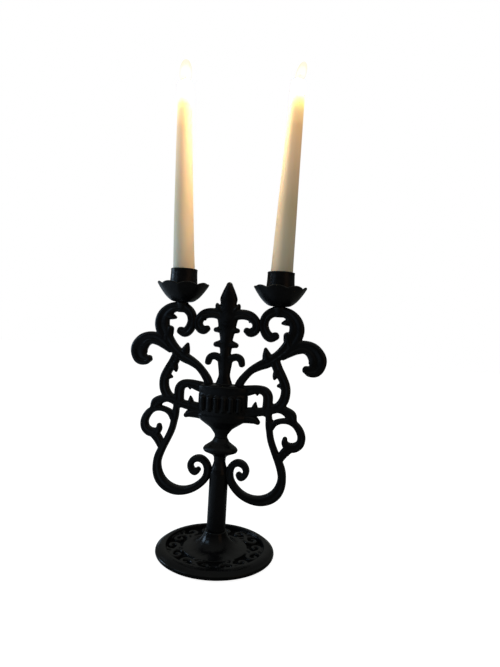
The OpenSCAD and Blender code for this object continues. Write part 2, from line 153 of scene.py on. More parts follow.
# %% Start a material
def material_tree(name):
    """A new material, its tree, its shader and the object coordinates."""
    material = bpy.data.materials.new(name)
    material.use_nodes = True
    tree = material.node_tree
    return material, tree, tree.nodes["Principled BSDF"], add(tree, "ShaderNodeTexCoord").outputs["Object"]


def per_mm(size):
    """Scale of a pattern whose features are that many millimetres wide."""
    return 1000 / size


print("features of 8 mm need a scale of", per_mm(8))

# %% [markdown]
# ## Black paint on cast iron
# Iron is poured into sand, so its skin keeps a fine grain and slow waves, even under paint. The
# paint is a satin black, a little lighter where it is thin. A slow noise 8 mm wide sets its tone
# and gloss, a fine one stands for the sand, and both are also a bump. The sand is drawn at 1.3 mm,
# coarser than the real 0.4 mm, so that it shows at this distance. Specular is far below the usual
# 0.5, because dust and handling take the shine off such paint.
#
# The base gets an iron of its own. Hands and cloths polish its rim and its raised scrolls, but
# not the sunk ground between them, which stays as dull as the sand left it. Height and distance
# from the middle tell the two apart.

# %% Make the painted irons
MATH = "ShaderNodeMath"
WAVES_MM, SAND_MM = 8, 1.3
RING_GROUND = (4.9 * MM, 51.4 * MM)
GROUND_FADE = 0.8 * MM
GROUND_DULLNESS = 0.95


def painted_cast_iron(name, smoothest, roughest, specular, dull_ground=None):
    """Black iron. dull_ground is the height under which, and the radius within which, it is dull."""
    material, tree, shader, place = material_tree(name)
    waves = add(tree, "ShaderNodeTexNoise",
                {"Vector": place, "Scale": per_mm(WAVES_MM), "Detail": 3.0, "Roughness": 0.5})
    sand = add(tree, "ShaderNodeTexNoise",
               {"Vector": place, "Scale": per_mm(SAND_MM), "Detail": 2.0, "Roughness": 0.6})
    tone = add(tree, "ShaderNodeValToRGB", [waves], [(0.3, "#050506"), (0.55, "#08080A"), (0.8, "#0D0E10")])
    gloss = add(tree, "ShaderNodeMapRange", {"Value": waves, "From Min": 0.3, "From Max": 0.7,
                                             "To Min": smoothest, "To Max": roughest})
    if dull_ground:
        top, reach = dull_ground
        height = add(tree, "ShaderNodeSeparateXYZ", [place]).outputs["Z"]
        low = add(tree, "ShaderNodeMapRange", {"Value": height, "From Min": top, "From Max": top + GROUND_FADE,
                                               "To Min": GROUND_DULLNESS, "To Max": 0.0})
        away = add(tree, "ShaderNodeVectorMath", [place], operation="LENGTH").outputs["Value"]
        inside = add(tree, MATH, (away, reach), operation="LESS_THAN")
        dull = add(tree, MATH, (low, inside), operation="MULTIPLY")
        gloss = add(tree, MATH, (gloss, dull), operation="MAXIMUM")
    slow = add(tree, "ShaderNodeBump", {"Height": waves, "Strength": 0.5, "Distance": 1.0 * MM})
    fine = add(tree, "ShaderNodeBump", {"Height": sand, "Strength": 0.35, "Distance": 0.3 * MM, "Normal": slow})
    feed(shader, {"Base Color": tone, "Roughness": gloss, "Normal": fine, "IOR": 1.5, "Specular IOR Level": specular})
    return material


IRON = painted_cast_iron("satin_black_painted_cast_iron", 0.24, 0.4, 0.13)
IRON_RELIEF = painted_cast_iron("black_cast_iron_with_dull_ground", 0.15, 0.28, 0.1, RING_GROUND)
print("made", IRON.name, IRON_RELIEF.name)

# %% [markdown]
# ## Zinc-plated steel, felt and charred cotton
# The fasteners are zinc plated: a pale metal with a cloudy gloss. The pads are pressed felt, which
# scatters light in its fuzz, so it gets sheen and a fibrous bump. The wick is burnt cotton. Real
# fibres are far too fine to show here, so the felt's are drawn at 0.6 mm and the cotton's at 0.35 mm.

# %% Make the small materials
def zinc_plated_steel():
    """A pale metal whose gloss clouds over every few millimetres."""
    material, tree, shader, place = material_tree("zinc_plated_steel")
    cloud = add(tree, "ShaderNodeTexNoise", {"Vector": place, "Scale": per_mm(2.5), "Detail": 3.0})
    tone = add(tree, "ShaderNodeValToRGB", [cloud], [(0.3, "#9FA4A8"), (0.7, "#C4C7C6")])
    gloss = add(tree, "ShaderNodeMapRange", {"Value": cloud, "To Min": 0.25, "To Max": 0.45})
    feed(shader, {"Base Color": tone, "Roughness": gloss, "Metallic": 1.0})
    return material


def fibrous(name, dark, light, fibre_mm):
    """A matt tangle of fibres, drawn as wide as fibre_mm."""
    material, tree, shader, place = material_tree(name)
    fibres = add(tree, "ShaderNodeTexNoise",
                 {"Vector": place, "Scale": per_mm(fibre_mm), "Detail": 4.0, "Distortion": 1.5})
    tone = add(tree, "ShaderNodeValToRGB", [fibres], [(0.35, dark), (0.7, light)])
    fuzz = add(tree, "ShaderNodeBump", {"Height": fibres, "Strength": 0.6, "Distance": 0.2 * MM})
    feed(shader, {"Base Color": tone, "Normal": fuzz, "Roughness": 0.95, "Sheen Weight": 0.25})
    return material


ZINC = zinc_plated_steel()
FELT = fibrous("pressed_black_felt", "#101010", "#2A2A2A", 0.6)
CHAR = fibrous("charred_cotton", "#070504", "#2B1D14", 0.35)
print("made", ZINC.name, FELT.name, CHAR.name)

# %% [markdown]
# ## Candle wax
# Wax is cloudy: light goes in, scatters and comes out warmer. Subsurface scattering gives it that
# soft body. The light of the flames in the wax is painted on as an emission: nearly white at the
# top, then yellow, peach and brown, until hardly any light is left at its foot. The base colour is
# painted lighter and warmer towards the top as well. This painted light follows the height on Object
# coordinates, and a wide noise moves its bands by up to 6 mm. The left candle is painted brighter
# than the right one, so each has a strength of its own.

# %% Make the wax
GLOW_REACH = 200 * MM
GLOW_WANDERS = 6 * MM
# Painted light: near the top the emission grows stronger, where the flames light the melted wax.
MELT_FROM, MELT_FULL, MELT_PAINTED_GLOW = 0.84, 0.93, 1.3
# Painted light: the emission colours for the flames' light in the wax, from the foot up to the top.
PAINTED_GLOW = [(0.02, "#181613"), (0.14, "#444035"), (0.35, "#604E30"), (0.51, "#87684C"), (0.67, "#A9815A"),
        (0.75, "#BC8B56"), (0.825, "#EFBC78"), (0.865, "#FFF38C"), (0.89, "#FFFAB4"), (0.925, "#FFFFF4")]


def candle_wax(name, top_z, painted_glow_strength):
    """Ivory wax with painted light: an emission and a base colour that grow lighter towards the top."""
    material, tree, shader, place = material_tree(name)
    height = add(tree, "ShaderNodeSeparateXYZ", [place]).outputs["Z"]
    drift = add(tree, "ShaderNodeTexNoise", {"Vector": place, "Scale": per_mm(14), "Detail": 2.0})
    wander = add(tree, "ShaderNodeMapRange", {"Value": drift, "To Min": -GLOW_WANDERS, "To Max": GLOW_WANDERS})
    level = add(tree, MATH, (height, wander), operation="ADD")
    up = add(tree, "ShaderNodeMapRange", {"Value": level, "From Min": top_z - GLOW_REACH, "From Max": top_z})
    # Painted light: the base colour is lighter and warmer towards the top, where the flames light the wax.
    body = add(tree, "ShaderNodeValToRGB", [up], [(0.0, "#D5CBB2"), (0.5, "#DDD0B2"), (1.0, "#F2E2BC")])
    # Painted light: this emission stands for the flames' light in the wax and fades towards the foot.
    glow = add(tree, "ShaderNodeValToRGB", [up], PAINTED_GLOW)
    strength = add(tree, "ShaderNodeMapRange", {"Value": up, "From Min": MELT_FROM, "From Max": MELT_FULL,
                                                "To Min": painted_glow_strength, "To Max": MELT_PAINTED_GLOW})
    skin = add(tree, "ShaderNodeTexNoise", {"Vector": place, "Scale": per_mm(5), "Detail": 3.0})
    bump = add(tree, "ShaderNodeBump", {"Height": skin, "Strength": 0.15, "Distance": 0.3 * MM})
    feed(shader, {"Base Color": body, "Normal": bump, "Roughness": 0.55, "IOR": 1.44, "Specular IOR Level": 0.3,
                  "Emission Color": glow, "Emission Strength": strength, "Subsurface Weight": 0.6,
                  "Subsurface Radius": (1.0, 0.6, 0.35), "Subsurface Scale": 7 * MM})
    return material


# The left candle's painted light is stronger than the right one's.
WAX = {name: candle_wax("ivory_candle_wax_" + name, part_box("candle_" + name)[1].z + more * MM, strength)
       for name, more, strength in (("left", 2, 1.0), ("right", -1, 0.8))}
print("made", [m.name for m in WAX.values()])

# %% [markdown]
# ## From numbers to meshes
# Most shapes here start as points in millimetres. A turned shape, as from a lathe, is a row of
# (radius, height) points that goes once round the upright axis. A point on the axis becomes a
# single vertex, so that the pole is closed. Each mesh then has its doubles merged and its faces
# turned outwards, because lists of points say nothing about inside and outside.

# %% Mesh helpers
def piece_from(name, points, faces=(), material=None, edges=()):
    """A new object from points in millimetres."""
    mesh = bpy.data.meshes.new(name)
    mesh.from_pydata([Vector(p) * MM for p in points], edges, faces)
    mesh.update()
    if material:
        mesh.materials.append(material)
    return put(name, mesh)


def outward(piece):
    """Merges doubles and turns every face outwards."""
    shape = bmesh.new()
    shape.from_mesh(piece.data)
    bmesh.ops.remove_doubles(shape, verts=shape.verts, dist=1e-7)
    bmesh.ops.recalc_face_normals(shape, faces=shape.faces)
    shape.to_mesh(piece.data)
    shape.free()
    return piece


def turned(name, profile, around, material, depth=1.0):
    """Turns (radius, height) points about the upright axis. depth squeezes it from front to back."""
    points, rings = [], []
    for r, z in profile:
        if r < 1e-6:
            rings.append([len(points)])
            points.append((0, 0, z))
        else:
            rings.append(list(range(len(points), len(points) + around)))
            for k in range(around):
                a = 2 * math.pi * k / around
                points.append((r * math.cos(a), depth * r * math.sin(a), z))
    faces = []
    for low, high in zip(rings, rings[1:]):
        for k in range(around):
            corners = [low[k % len(low)], low[(k + 1) % len(low)], high[(k + 1) % len(high)], high[k % len(high)]]
            faces.append(list(dict.fromkeys(corners)))
    return outward(piece_from(name, points, [f for f in faces if len(f) > 2], material))


def triangles(piece):
    return sum(len(p.vertices) - 2 for p in piece.data.polygons)


print("helpers for meshes are ready")

# %% [markdown]
# ## From modifiers to plain meshes
# A modifier is a recipe that Blender works out again each time it is asked. A piece that is done
# swaps its mesh for what its modifiers make of it, and drops them. Parts that belong to one
# casting are joined, so that they can be melted together later.

# %% Bake and join
def baked(piece):
    """Swaps the piece's mesh for what its modifiers make of it."""
    bpy.context.view_layer.update()
    evaluated = piece.evaluated_get(bpy.context.evaluated_depsgraph_get())
    mesh = bpy.data.meshes.new_from_object(evaluated)
    piece.modifiers.clear()
    old, piece.data = piece.data, mesh
    bpy.data.meshes.remove(old)
    return piece


def joined(name, parts):
    """One object from several, whose own objects are then gone. It takes the first one's material."""
    shape = bmesh.new()
    for part in parts:
        shape.from_mesh(part.data)
    mesh = bpy.data.meshes.new(name)
    shape.to_mesh(mesh)
    shape.free()
    mesh.materials.append(parts[0].data.materials[0])
    for part in parts:
        bpy.data.objects.remove(part)
    return put(name, mesh)


print("helpers for modifiers are ready")

# %% [markdown]
# ## Geometry Nodes, first and last node
# A Geometry Nodes tree is a small machine: shape and sizes go in, a new shape comes out. Each tree
# below starts with named inputs, so that a learner can turn its sizes in Blender's modifier panel.
# Each ends by making instances real and giving them their material.

# %% Begin and end a tree
def node_tree(name, inputs):
    """A new tree with named inputs, and the outputs of the node that holds them."""
    tree = bpy.data.node_groups.new(name, "GeometryNodeTree")
    tree.interface.new_socket("Geometry", in_out="INPUT", socket_type="NodeSocketGeometry")
    for label, kind, value in inputs:
        socket = tree.interface.new_socket(label, in_out="INPUT", socket_type=kind)
        if value is not None:
            socket.default_value = value
    tree.interface.new_socket("Geometry", in_out="OUTPUT", socket_type="NodeSocketGeometry")
    return tree, add(tree, "NodeGroupInput").outputs


def ended(tree, geometry, material):
    """Makes instances real, gives them the material and hands the shape out."""
    real = add(tree, "GeometryNodeRealizeInstances", {"Geometry": geometry})
    done = add(tree, "GeometryNodeSetMaterial", {"Geometry": real, "Material": material})
    add(tree, "NodeGroupOutput", {"Geometry": done})
    return tree


print("a tree starts with named inputs and ends with its material")

# %% [markdown]
# ## The scroll bars, part 1: the path
# The heart of the object is its openwork of scrolls. Each bar follows a curved path, swells and
# tapers, has two soft ridges with a groove between them, and ends in a round nose. That is a rule,
# so Geometry Nodes make it. First a smooth curve runs through stations that carry a half width.
# Each of its points then gets the bar's width, which shrinks on a quarter circle at the nose, and
# its thickness, which shrinks where the bar gets narrow, as the pattern maker did it.

# %% Measure the path
def measured_path(tree, given):
    """The smooth curve, with place, direction across, half width and half thickness on its points."""
    path = add(tree, "GeometryNodeMeshToCurve", {"Mesh": given["Geometry"]})
    path = add(tree, "GeometryNodeCurveSplineType", {"Curve": path}, spline_type="CATMULL_ROM")
    path = add(tree, "GeometryNodeResampleCurve", {"Curve": path, "Length": given["Step"]}, mode="LENGTH")

    half = add(tree, "GeometryNodeInputNamedAttribute", {"Name": "half_width"}, data_type="FLOAT")
    whole = add(tree, "GeometryNodeSplineLength")
    along = add(tree, "GeometryNodeSplineParameter").outputs["Length"]
    rest = add(tree, MATH, (whole, along), operation="SUBTRACT")
    to_end = add(tree, MATH, (rest, half), operation="DIVIDE")
    to_end = add(tree, MATH, (to_end, 1.0), operation="MINIMUM")
    back = add(tree, MATH, (1.0, to_end), operation="SUBTRACT")
    nose = add(tree, MATH, (back, back), operation="MULTIPLY")
    nose = add(tree, MATH, (1.0001, nose), operation="SUBTRACT")
    nose = add(tree, MATH, [nose], operation="SQRT")
    width = add(tree, MATH, (half, nose), operation="MULTIPLY")
    thin = add(tree, MATH, (width, given["Full from"]), operation="DIVIDE")
    thin = add(tree, MATH, (thin, 1.0), operation="MINIMUM")
    depth = add(tree, MATH, (thin, given["Half thickness"]), operation="MULTIPLY")

    position = add(tree, "GeometryNodeInputPosition")
    tangent = add(tree, "GeometryNodeInputTangent")
    across = add(tree, "ShaderNodeVectorMath", (tangent, given["Face"]), operation="CROSS_PRODUCT")
    for name, kind, value in (("centre", "FLOAT_VECTOR", position), ("across", "FLOAT_VECTOR", across),
                              ("bar_width", "FLOAT", width), ("bar_depth", "FLOAT", depth)):
        path = add(tree, "GeometryNodeStoreNamedAttribute", {"Geometry": path, "Name": name, "Value": value},
                   data_type=kind, domain="POINT")
    return path


print("the path's points will carry four measures")

# %% [markdown]
# ## The scroll bars, part 2: the section
# A circle swept along the path gives a tube. Each of its points knows where it was on the circle,
# so it can be moved to its place in the cast section: across by the bar's width, and out to the
# face by its thickness. A power of the circle's height makes the face flatter or sharper, and a
# bell curve takes the groove out of its middle. On bars narrower than 10 mm, which is a half width
# of 5 mm, the groove gets shallow.

# %% Shape the section
GROOVE_FULL_FROM = 5 * MM
GROOVE_SHARPNESS = 9.0


def cast_tube(tree, given, path):
    """A tube along the path, whose points are moved to the cast section."""
    position = add(tree, "GeometryNodeInputPosition")
    circle = add(tree, "GeometryNodeCurvePrimitiveCircle", {"Resolution": given["Around"], "Radius": 1.0},
                 mode="RADIUS")
    circle = add(tree, "GeometryNodeStoreNamedAttribute", {"Geometry": circle, "Name": "section", "Value": position},
                 data_type="FLOAT_VECTOR", domain="POINT")
    tube = add(tree, "GeometryNodeCurveToMesh", {"Curve": path, "Profile Curve": circle, "Fill Caps": True})
    section, centre, across, width, depth = (
        add(tree, "GeometryNodeInputNamedAttribute", {"Name": name}, data_type=kind)
        for name, kind in (("section", "FLOAT_VECTOR"), ("centre", "FLOAT_VECTOR"), ("across", "FLOAT_VECTOR"),
                           ("bar_width", "FLOAT"), ("bar_depth", "FLOAT")))
    spot = add(tree, "ShaderNodeSeparateXYZ", [section])
    side, face = spot.outputs["X"], spot.outputs["Y"]

    wide = add(tree, MATH, (width, GROOVE_FULL_FROM), operation="DIVIDE")
    wide = add(tree, MATH, (wide, 1.0), operation="MINIMUM")
    wide = add(tree, MATH, (wide, wide), operation="MULTIPLY")
    dip = add(tree, MATH, (side, side), operation="MULTIPLY")
    dip = add(tree, MATH, (dip, -GROOVE_SHARPNESS), operation="MULTIPLY")
    dip = add(tree, MATH, [dip], operation="EXPONENT")
    dip = add(tree, MATH, (dip, given["Groove"]), operation="MULTIPLY")
    dip = add(tree, MATH, (dip, wide), operation="MULTIPLY")
    level = add(tree, MATH, (1.0, dip), operation="SUBTRACT")
    rise = add(tree, MATH, [face], operation="ABSOLUTE")
    rise = add(tree, MATH, (rise, given["Roundness"]), operation="POWER")
    rise = add(tree, MATH, (rise, level), operation="MULTIPLY")
    rise = add(tree, MATH, (rise, add(tree, MATH, [face], operation="SIGN")), operation="MULTIPLY")

    sideways = add(tree, MATH, (side, width), operation="MULTIPLY")
    forwards = add(tree, MATH, (rise, depth), operation="MULTIPLY")
    out = add(tree, "ShaderNodeVectorMath", {0: across, "Scale": sideways}, operation="SCALE")
    front = add(tree, "ShaderNodeVectorMath", {0: given["Face"], "Scale": forwards}, operation="SCALE")
    place = add(tree, "ShaderNodeVectorMath", (centre, out), operation="ADD")
    place = add(tree, "ShaderNodeVectorMath", (place, front), operation="ADD")
    return add(tree, "GeometryNodeSetPosition", {"Geometry": tube, "Position": place})


def scroll_tree():
    tree, given = node_tree("cast_scroll", [
        ("Step", "NodeSocketFloat", 1.0 * MM),
        ("Half thickness", "NodeSocketFloat", 5 * MM),
        ("Full from", "NodeSocketFloat", 3 * MM),
        ("Roundness", "NodeSocketFloat", 0.55),
        ("Groove", "NodeSocketFloat", 0.3),
        ("Face", "NodeSocketVector", (0.0, 1.0, 0.0)),
        ("Around", "NodeSocketInt", 32),
        ("Material", "NodeSocketMaterial", None),
    ])
    return ended(tree, cast_tube(tree, given, measured_path(tree, given)), given["Material"])


SCROLLS = scroll_tree()
print("the scroll tree has", len(SCROLLS.nodes), "nodes")

# %% [markdown]
# ## Running a tree
# The tree needs paths. A path is a row of stations, each with its place and its half width in
# millimetres. We keep the width as an attribute on each point, add one more point past the end for
# the round nose, run the tree, and keep the plain mesh.

# %% Paths and the tree runner
def paths(name, rows, lay, side=1):
    """Edge paths with a half width on each point. lay puts a station's two numbers in space."""
    points, widths, edges = [], [], []
    for row in rows:
        a, b, half = row[-1]
        step = (Vector((a, b)) - Vector(row[-2][:2])).normalized() * half
        first = len(points)
        for x, z, width in list(row) + [(a + step.x, b + step.y, half)]:
            points.append(lay(side * x, z))
            widths.append(width * MM)
        edges += [(i, i + 1) for i in range(first, len(points) - 1)]
    piece = piece_from(name, points, edges=edges)
    piece.data.attributes.new("half_width", "FLOAT", "POINT").data.foreach_set("value", widths)
    return piece


def grown(piece, tree, values):
    """Runs a Geometry Nodes tree on a piece and keeps the plain mesh."""
    modifier = piece.modifiers.new(tree.name, "NODES")
    modifier.node_group = tree
    for item in tree.interface.items_tree:
        if item.item_type == "SOCKET" and item.in_out == "INPUT" and item.name in values:
            modifier[item.identifier] = values[item.name]
    return outward(baked(piece))


def upright(x, z):
    return (x, 0, z)


print("a path is laid upright, in the plane of the openwork:", upright(10, 100))

# %% [markdown]
# ## The stations of the side scrolls
# These are the arms with their curled ends, the hooks that reach outwards, the handles beside the
# urn, the ears and the large lower scrolls that curl back to the stem. Each row is one bar, from
# its root to its tip, with (across, height, half width) at each station. Leaves and nubs use the
# same tree, with a sharp crown in place of the groove.

# %% Lay down the stations
SIDE_BARS = {
    "arm": [(14, 173, 4.2), (18, 185, 4.2), (27.3, 197, 3.8), (36.4, 203.3, 4.6), (46, 208, 5.5), (56, 215, 5.2),
            (65, 224, 6.2), (72, 234, 7.6), (74.6, 243, 7.8), (72.6, 252, 7), (66, 259, 5.8), (56.5, 262, 5),
            (47.5, 260.3, 5), (41.3, 254.5, 4.8), (39.8, 246.5, 4.6), (42.5, 238.5, 5), (47.5, 234.4, 5),
            (52.4, 235.9, 4.2)],
    "hook": [(60, 213.5, 3), (67, 219, 4.5), (76, 225, 6.5), (84.5, 226.3, 6.8), (92.6, 222.4, 8.2),
             (97.7, 213.8, 9.2), (95.8, 205, 8.4), (90.2, 202.3, 6.2), (86.4, 203.2, 4)],
    "side_scroll": [(54, 209, 5), (57.6, 201, 5), (62.5, 193, 4.6), (66, 185, 4.7), (66.8, 178, 4.8),
                    (65.4, 170.5, 5), (61, 163.5, 5), (55.3, 160.7, 4.6)],
    "handle_top": [(18, 175, 6), (27, 177.2, 5.4), (37, 179.3, 4.2), (44.6, 178, 4.6), (48.3, 173.5, 5),
                   (48.8, 167, 5), (48.5, 160, 5), (47.8, 156, 4.5)],
    "handle_low": [(20, 152.5, 5), (30, 154.6, 5), (40, 155.8, 4.3), (50, 158, 4.2), (60, 160.8, 3.8),
                   (68, 159.3, 4.5), (74, 155, 5.6), (76.5, 150, 4)],
    "ear": [(54, 140, 3), (57.5, 145.5, 3), (64, 148.6, 2.7), (72, 149.2, 3), (79, 146.3, 3.4), (84, 140.5, 3.8),
            (86.4, 133.5, 4), (85, 126.5, 4.4), (79.5, 122.4, 4.8), (73.2, 122.6, 4.4), (69.4, 126.5, 3.2),
            (69.4, 130.8, 2.2)],
    "ear_link": [(75, 121, 4.5), (70, 116.2, 4.6), (65.5, 109, 4)],
    "lower_scroll": [(50.3, 158.4, 3.4), (51, 151, 3.2), (52.2, 143, 4), (52.8, 136, 3.3), (54.8, 127, 3.3),
                     (59.3, 116, 3.4), (64.2, 106, 3.9), (67.7, 97, 4.2), (69, 89, 4.2), (67.9, 80, 5), (64, 71.8, 5.6),
                     (56.5, 65.4, 5.5), (46.5, 62.2, 5), (36, 62.9, 4.3), (26, 67, 3.9), (18, 73.8, 3.8),
                     (13.3, 81, 3.8), (12, 89, 4), (14.8, 96, 3.6), (20.7, 99.6, 3.6), (27.1, 98, 3.4),
                     (30.7, 92.5, 3.1), (29.3, 86.8, 3.1), (25.3, 84.4, 3.5), (22.3, 87.3, 2.8)],
}
SIDE_LEAVES = {
    "arm_curl": [(46.5, 209, 6), (44.5, 215.8, 4.6), (43, 222, 1.8)],
    "loop_low": [(68.5, 226, 5.5), (66, 233, 4.8), (65, 237, 4)],
    "loop_high": [(69, 252, 4.5), (62.5, 250.6, 3), (59.2, 249.8, 1.5)],
    "branch": [(57.5, 201, 4.5), (54.8, 194.8, 3), (54, 191.4, 1.4)],
    "branch_low": [(64.5, 184.5, 4), (60.5, 185.2, 2.7), (58.3, 184.6, 1.6)],
    "window_top": [(37, 178, 3), (37, 175, 2), (37, 173, 0.8)],
    "window_low": [(35, 156, 4.2), (35.3, 161.5, 2.7), (35.9, 165.6, 0.9)],
    "ear_nub": [(71, 117, 4), (73.4, 114.6, 1.8)],
}
LEAF = {"Roundness": 1.2, "Groove": -0.08, "Half thickness": 4.4 * MM, "Material": IRON}
BAR = {"Material": IRON}
print("one side has", len(SIDE_BARS), "bars and", len(SIDE_LEAVES), "leaves")

# %% [markdown]
# ## Halves that don't match
# Such a casting is made from a hand-carved pattern, and its halves aren't quite mirror images.
# The left arm stands 2 mm further in than the right one, and below the arms both sets of curves
# are turned by the same small angle about a point on the axis. So one table serves both sides,
# and a function moves its stations. Near the stem it moves nothing, so that all bars still meet.

# %% Move the stations of a side
SIDES = {"left": -1, "right": 1}
ARM_INWARD = 2
ARM_HEIGHTS, ARM_REACH = (208, 234), (20, 60)
LOW_TURN, LOW_PIVOT = 0.7, 194
LOW_HEIGHTS, STEM_REACH = (209, 169), (0, 30)


def share_of(value, start, end):
    """How far a value has come from start to end, from 0 to 1."""
    return min(1, max(0, (value - start) / (end - start)))


def uneven(row, side):
    """A row of stations as this side of the casting has it."""
    moved = []
    for x, z, half in row:
        inward = ARM_INWARD * share_of(z, *ARM_HEIGHTS) * share_of(x, *ARM_REACH) if side < 0 else 0
        turn = side * math.sin(math.radians(LOW_TURN * share_of(z, *LOW_HEIGHTS)))
        moved.append((x - inward + turn * (z - LOW_PIVOT) * share_of(x, *STEM_REACH), z - turn * x, half))
    return moved


def side_rows(table, side):
    """All rows of a table for one side. The hooks alone are even."""
    return [row if part == "hook" else uneven(row, side) for part, row in table.items()]


print("the left arm moves from 56 to", round(uneven([(56, 240, 5)], -1)[0][0], 1), "mm across")

# %% [markdown]
# ## Grow the side scrolls
# On the top of each arm's loop stands a short round neck that carries the drip pan. The frame
# tells where the two cups stand, so the necks are placed by it. Bars, leaves and neck of one side
# are joined, but not melted yet.

# %% Grow both sides
PAN_X = {side: 500 * (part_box("candle_cup_" + name)[0].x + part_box("candle_cup_" + name)[1].x)
         for name, side in SIDES.items()}
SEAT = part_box("drip_pan_right")[0].z / MM
NECK_TOP = SEAT - 0.4
NECK = [(0, 256), (4.5, 256), (4.7, 260.5), (5.3, 263), (6.6, NECK_TOP), (0, NECK_TOP)]


def side_casting(name, side):
    bars = grown(paths(name + "_bars", side_rows(SIDE_BARS, side), upright, side), SCROLLS, BAR)
    leaves = grown(paths(name + "_leaves", side_rows(SIDE_LEAVES, side), upright, side), SCROLLS, LEAF)
    neck = turned(name + "_neck", NECK, 40, IRON)
    neck.data.transform(Matrix.Translation((PAN_X[side] * MM, 0, 0)))
    return joined(name, [bars, leaves, neck])


scrolls_right = side_casting("scrolls_right", 1)
scrolls_left = side_casting("scrolls_left", -1)
print("one side has", triangles(scrolls_right), "triangles before it is cast")

# %% [markdown]
# ## The turned middle
# The middle of the casting is turned: a stem with a shoulder, a knop, and an urn that is flatter
# from front to back. The frame's openwork is as deep as the urn with its ribs, so its box gives
# the urn's depth.

# %% Turn stem, knop and urn
STEM_R = 9.8
URN_R = 28
RIB_PROUD = 2.2
URN = [(0, 122), (6.6, 122), (7, 128), (12, 134.5), (18, 138.5), (24, 142.5), (26.6, 147), (25.8, 150), (26.8, 153),
       (26.8, 170), (26, 172.5), (28, 174.5), (28, 179.5), (23, 181), (0, 181.5)]
KNOP = [(0, 103.5), (6, 103.5), (9, 106.3), (17.6, 109.6), (18.8, 112), (17.4, 114.4), (9.5, 120), (7, 124.5),
        (0, 124.5)]
STEM = [(0, 20), (6.2, 20), (6.2, 25), (STEM_R, 25), (STEM_R, 83), (9.6, 86.5), (8.5, 91), (6.8, 95.5),
        (6, 99), (6.3, 103), (6.3, 122), (0, 122)]
urn_depth = 0.5 * (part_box("openwork_stem")[1].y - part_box("openwork_stem")[0].y) / MM - RIB_PROUD
squeeze = urn_depth / URN_R
turned_parts = [turned("urn", URN, 96, IRON, squeeze), turned("knop", KNOP, 72, IRON, (1 + squeeze) / 2),
                turned("stem", STEM, 72, IRON)]
print(f"the urn is {2 * urn_depth:.1f} mm from front to back, without its ribs")

# %% [markdown]
# ## The ribs of the urn
# Six upright ribs stand on each face of the urn. They are all alike, so Geometry Nodes draw one, a
# ball pulled apart into a rod with round ends, and place it on each point of a short row. The
# points follow the urn's flattened round.

# %% Place the ribs
RIB_STEP, RIB_MIDDLE, RIB_SUNK = 7.8, 161.5, 0.8


def rib_tree():
    """Puts an upright rib with round ends on every point."""
    tree, given = node_tree("urn_ribs", [("Radius", "NodeSocketFloat", 3.2 * MM),
                                         ("Height", "NodeSocketFloat", 17 * MM),
                                         ("Material", "NodeSocketMaterial", None)])
    ball = add(tree, "GeometryNodeMeshUVSphere", {"Segments": 16, "Rings": 12, "Radius": given["Radius"]})
    height = add(tree, "ShaderNodeSeparateXYZ", [add(tree, "GeometryNodeInputPosition")]).outputs["Z"]
    half = add(tree, MATH, (given["Height"], 0.5), operation="MULTIPLY")
    reach = add(tree, MATH, (half, given["Radius"]), operation="SUBTRACT")
    above = add(tree, MATH, [height], operation="SIGN")
    shift = add(tree, "ShaderNodeCombineXYZ", {"Z": add(tree, MATH, (above, reach), operation="MULTIPLY")})
    rib = add(tree, "GeometryNodeSetPosition", {"Geometry": ball, "Offset": shift})
    ribs = add(tree, "GeometryNodeInstanceOnPoints", {"Points": given["Geometry"], "Instance": rib})
    return ended(tree, ribs, given["Material"])


spots = [(k * RIB_STEP, face * (urn_depth - RIB_SUNK) * math.sqrt(1 - (k * RIB_STEP / URN_R) ** 2), RIB_MIDDLE)
         for face in (-1, 1) for k in (-2.5, -1.5, -0.5, 0.5, 1.5, 2.5)]
ribs = grown(piece_from("ribs", spots), rib_tree(), {"Material": IRON})
print("the urn has", len(spots), "ribs")

# %% [markdown]
# ## The shaft above the urn
# A leafed shaft rises from the urn and ends in a spear. It is a bar like the scrolls, only with a
# raised spine in place of a groove. Smaller scrolls and leaves grow from it to both sides, and one
# leaf from each side of the urn.

# %% Grow the shaft and join the middle
SHAFT = [(0, 168, 10), (0, 178, 10.5), (0, 184, 8.2), (0, 191, 6), (0, 199, 6.8), (0, 206, 7.6), (0, 213, 5.6),
         (0, 221, 6.4), (0.2, 230, 6.8), (0.3, 238, 8.6), (0.3, 245, 9.8), (0.4, 254, 11.2), (0.4, 262, 9.2),
         (0.5, 268, 8.6), (0.5, 273, 9.2), (0.5, 281, 6.2), (0.5, 287.5, 3)]
MIDDLE_BARS = {
    "inner_scroll": [(3, 252, 5), (9, 255.6, 5.2), (17, 256.8, 5.2), (25, 255.2, 5), (30.6, 250.4, 4.6),
                     (32.2, 245, 4.4), (30, 240, 4.6), (25.5, 238.2, 4.6), (21.6, 240, 3.2)],
    "shaft_curl": [(2, 205, 4), (6.5, 209.5, 3.8), (12.5, 211.3, 3.7), (17, 208.8, 3.5), (18.6, 203.8, 3)],
}
MIDDLE_LEAVES = {
    "shoulder": [(6, 257, 5), (11.2, 264.5, 2.7), (11.9, 266.8, 1.4)],
    "nub_high": [(4, 239.4, 3.4), (8, 239.5, 3.2), (12, 239.2, 2.5)],
    "nub_low": [(3, 224, 4), (7, 224.3, 3.8), (11.2, 223.6, 2.7)],
    "scroll_spur": [(26.5, 254, 3.5), (25, 250.6, 2), (24.1, 248.6, 0.8)],
    "urn_leaf": [(14, 146, 5), (27, 148, 5.4), (35, 147.2, 4.6), (39.6, 144.6, 2.6)],
}
